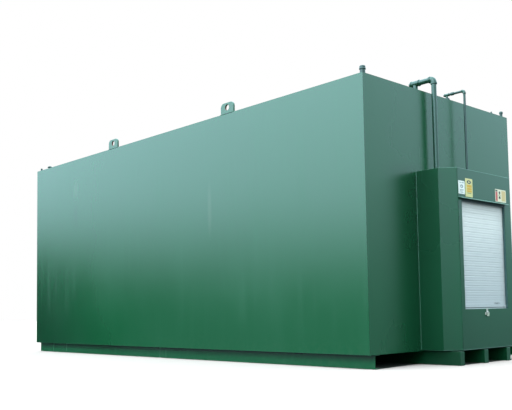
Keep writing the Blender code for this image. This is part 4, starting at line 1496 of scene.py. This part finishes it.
def light_studio():
    """A soft sky with a brighter side, over a darker ground; the camera itself sees white."""
    world = bpy.data.worlds.new("Soft studio")
    bpy.context.scene.world = world
    world.cycles.sampling_method = "NONE"
    world.use_nodes = True
    tree = world.node_tree
    tree.nodes.clear()
    direction = add(tree, "ShaderNodeTexCoord").outputs["Generated"]
    height = axis_of(tree, direction, Z)
    hill = step(tree, towards(tree, direction, SHADE_TOWARDS), HILL_START, 1.0, 0.0, HILL_HEIGHT)
    over_hill = maths(tree, "SUBTRACT", height, hill)
    above = step(tree, over_hill, sin(radians(HORIZON_LOW)), sin(radians(HORIZON_HIGH)))
    glow = step(tree, towards(tree, direction, GLOW_TOWARDS), GLOW_START, 1.0, 0.0, GLOW_LEVEL)
    lift = total(tree, product(tree, maths(tree, "MAXIMUM", height, 0.0), OVERHEAD), 1.0)
    level = product(tree, total(tree, glow, SKY_LEVEL), lift)
    shade = below(tree, towards(tree, direction, SHADE_TOWARDS), SHADE_START, 1.0)
    colour = mixed(tree, above, scaled(tree, GROUND_LIGHT, shade), scaled(tree, SKY_TINT, level))
    path = add(tree, "ShaderNodeLightPath").outputs
    matt = vector_maths(tree, "MULTIPLY", colour, MATT_SHARE)
    colour = mixed(tree, path["Is Diffuse Ray"], colour, matt)
    lit = add(tree, "ShaderNodeBackground", inputs={"Color": colour}).outputs[0]
    white = add(tree, "ShaderNodeBackground", inputs={"Color": opaque((1, 1, 1))}).outputs[0]
    seen = {0: path["Is Camera Ray"], 1: lit, 2: white}
    shown = add(tree, "ShaderNodeMixShader", inputs=seen).outputs[0]
    tree.links.new(shown, add(tree, "ShaderNodeOutputWorld").inputs["Surface"])


def matt_ground(name, scale, first, second):
    """Ground in two tones with no shine."""
    material, tree, shader, place = blank_material(name)
    tone = mixed(tree, mottle(tree, place, scale, 3.0), opaque(first), opaque(second))
    tree.links.new(tone, shader.inputs["Base Color"])
    shader.inputs["Roughness"].default_value = 1.0
    shader.inputs["Specular IOR Level"].default_value = 0.0
    return material


def floor_sheet(name, corners, z, material):
    """A flat piece of the studio's floor."""
    mesh = bpy.data.meshes.new(name)
    mesh.from_pydata([(x, y, z) for x, y in corners], [], [range(len(corners))])
    mesh.materials.append(material)
    sheet = held(name, mesh)
    return sheet


def lay_floor():
    """A plain pale floor that takes the tank's shadow, and dark sheets of painted shade under the tank
    and the cabinet.
    """
    half = FLOOR_SIZE / 2
    pale = matt_ground("Pale floor", 0.5, (0.600, 0.500, 0.490), (0.640, 0.530, 0.510))
    # Near-black sheets: painted shade on the floor under the tank and the cabinet
    dark = matt_ground("Painted shade under the tank", 3.0, (0.050, 0.056, 0.050), (0.080, 0.088, 0.080))
    floor = [(-half, -half), (half, -half), (half, half), (-half, half)]
    ground = floor_sheet("studio_floor", floor, PALE_FLOOR_Z, pale)
    ground.visible_glossy = False
    ground.visible_diffuse = False

    left = LEFT + SHADE_SHEET_INSET
    right = RIGHT - SHADE_SHEET_INSET
    near = NEAR + SHADE_SHEET_END_INSET
    far = FAR - SHADE_SHEET_END_INSET
    behind = NEAR + SHADE_SHEET_INSET
    under_tank = [(left, NEAR + SHADE_SHEET_CORNER_INSET), (CABINET_LEFT + SHADE_SHEET_INSET, behind),
                  (CABINET_RIGHT - SHADE_SHEET_INSET, behind), (right, near), (right, far), (left, far)]
    floor_sheet("shade_sheet_under_tank", under_tank, TANK_SHADE_SHEET_Z, dark)
    left = CABINET_LEFT + CABINET_SHADE_SHEET_INSET
    right = CABINET_RIGHT - CABINET_SHADE_SHEET_INSET
    front = FRONT + CABINET_SHADE_SHEET_FRONT
    behind = NEAR + CABINET_SHADE_SHEET_BACK
    under_cabinet = [(left, front), (right, front), (right, behind), (left, behind)]
    floor_sheet("shade_sheet_under_cabinet", under_cabinet, CABINET_SHADE_SHEET_Z, dark)


def set_camera():
    """The camera where the photographer stood."""
    data = bpy.data.cameras.new("camera")
    data.lens = CAMERA_LENS
    data.shift_x, data.shift_y = CAMERA_SHIFT
    data.clip_end = CAMERA_REACH
    camera = held("camera", data)
    camera.location = CAMERA_PLACE
    camera.rotation_euler = [radians(angle) for angle in CAMERA_TURN]
    bpy.context.scene.camera = camera
    bpy.context.scene.view_settings.view_transform = "Standard"


OPENING_LEFT, OPENING_RIGHT = opening_in("cabinet_front")
CURTAIN_LOW, CURTAIN_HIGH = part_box("shutter_curtain")
SLOT_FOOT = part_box("shutter_bottom_bar")[0].z + BAR_LIP

WELD_BEAD = weld_bead_tree()
SLAT_STACK = slat_stack_tree()
RIVETS = rivet_tree()

GREEN_PAINT = paint("Green gloss paint", GREEN, GREEN_FADED, GLOSS)
GREEN_MARKED_AND_SHADED = paint("Green gloss paint with marks and painted shade", GREEN, GREEN_FADED, GLOSS, marks=True)
END_PAINT = paint("Green end wall paint", GREEN, GREEN_FADED, 0.28, streaking=0.06)
CABINET_PAINT = paint("Green cabinet paint", (0.0024, 0.0630, 0.0235), (0.0060, 0.0740, 0.0310), 0.28,
                      low_darkening=0.40, streaking=0.10, shine=0.46)
ROOF_PAINT = paint("Weathered roof paint", (0.0040, 0.0500, 0.0200), (0.0160, 0.0720, 0.0400), 0.50,
                   streaking=0.20, shine=0.15)
# Green lightened as painted highlight on the cabinet's welds
WELD_HIGHLIGHT_PAINT = paint("Weld paint lightened as painted highlight", (0.030, 0.130, 0.070), (0.060, 0.170, 0.110), 0.32)
# Green lightened as painted highlight on the hood
HOOD_HIGHLIGHT_PAINT = paint("Hood paint lightened as painted highlight", (0.060, 0.160, 0.115), (0.090, 0.200, 0.150), 0.30)
# Green darkened as painted shade under the hood
HEAD_SHADE_PAINT = paint("Shutter head paint darkened as painted shade", (0.0030, 0.0130, 0.0100), (0.0060, 0.0190, 0.0150), 0.45)
# The middle runners get painted shade on their sides, the long ones painted shadow under the tank's edge
SKID_PAINT = paint("Green skid paint", (0.0024, 0.0620, 0.0215), (0.0060, 0.0740, 0.0290), 0.34,
                   low_darkening=0.50, shine=0.30, sides=0.40)
LONG_SKID_PAINT = paint("Green long skid paint", GREEN, GREEN_FADED, 0.24, shine=0.36, edge_shadow=0.75)
# Green darkened as painted shade on the runner seams
SEAM_SHADE_PAINT = paint("Seam paint darkened as painted shade", (0.0008, 0.0300, 0.0095), (0.0016, 0.0360, 0.0120), 0.50,
                   shine=0.08)
GREEN_PIPE = paint("Green pipe paint", (0.0050, 0.0400, 0.0210), (0.0080, 0.0520, 0.0270), 0.34)
# Dark slate standing in for the shade inside the reveal
GUIDE_SHADE_PAINT = paint("Guide paint darkened as painted shade", (0.030, 0.075, 0.078), (0.045, 0.095, 0.095), 0.40)
DARK_PAINT = paint("Dark fitting paint", DARK_GREEN, DARK_FADED, 0.42)
SHUTTER_WHITE = shutter_finish(CURTAIN_LOW.z, (CURTAIN_HIGH.z - CURTAIN_LOW.z) / SLATS)
ZINC = metal("Dull zinc plate", (0.470, 0.450, 0.400), (0.360, 0.350, 0.320), 0.45, 120.0)
BRASS = metal("Worn brass", (0.460, 0.470, 0.370), (0.360, 0.370, 0.290), 0.42, 150.0)
SIGN_WHITE = sign_finish("Sign white", (0.820, 0.840, 0.820), (0.660, 0.700, 0.690))
SIGN_YELLOW = sign_finish("Sign yellow", (0.660, 0.590, 0.240), (0.620, 0.590, 0.300))
SIGN_RED = sign_finish("Sign pale ground", (0.780, 0.720, 0.540), (0.680, 0.650, 0.520))

make_shell()
make_shell_seams()
make_skids()
make_lugs()
make_roof_fittings()
make_pipes()
make_pipe_feet()
make_cabinet()
make_hood()
make_curtain()
make_bottom_bar()
make_guides()
make_lock()
make_signs()

light_studio()
lay_floor()
set_camera()
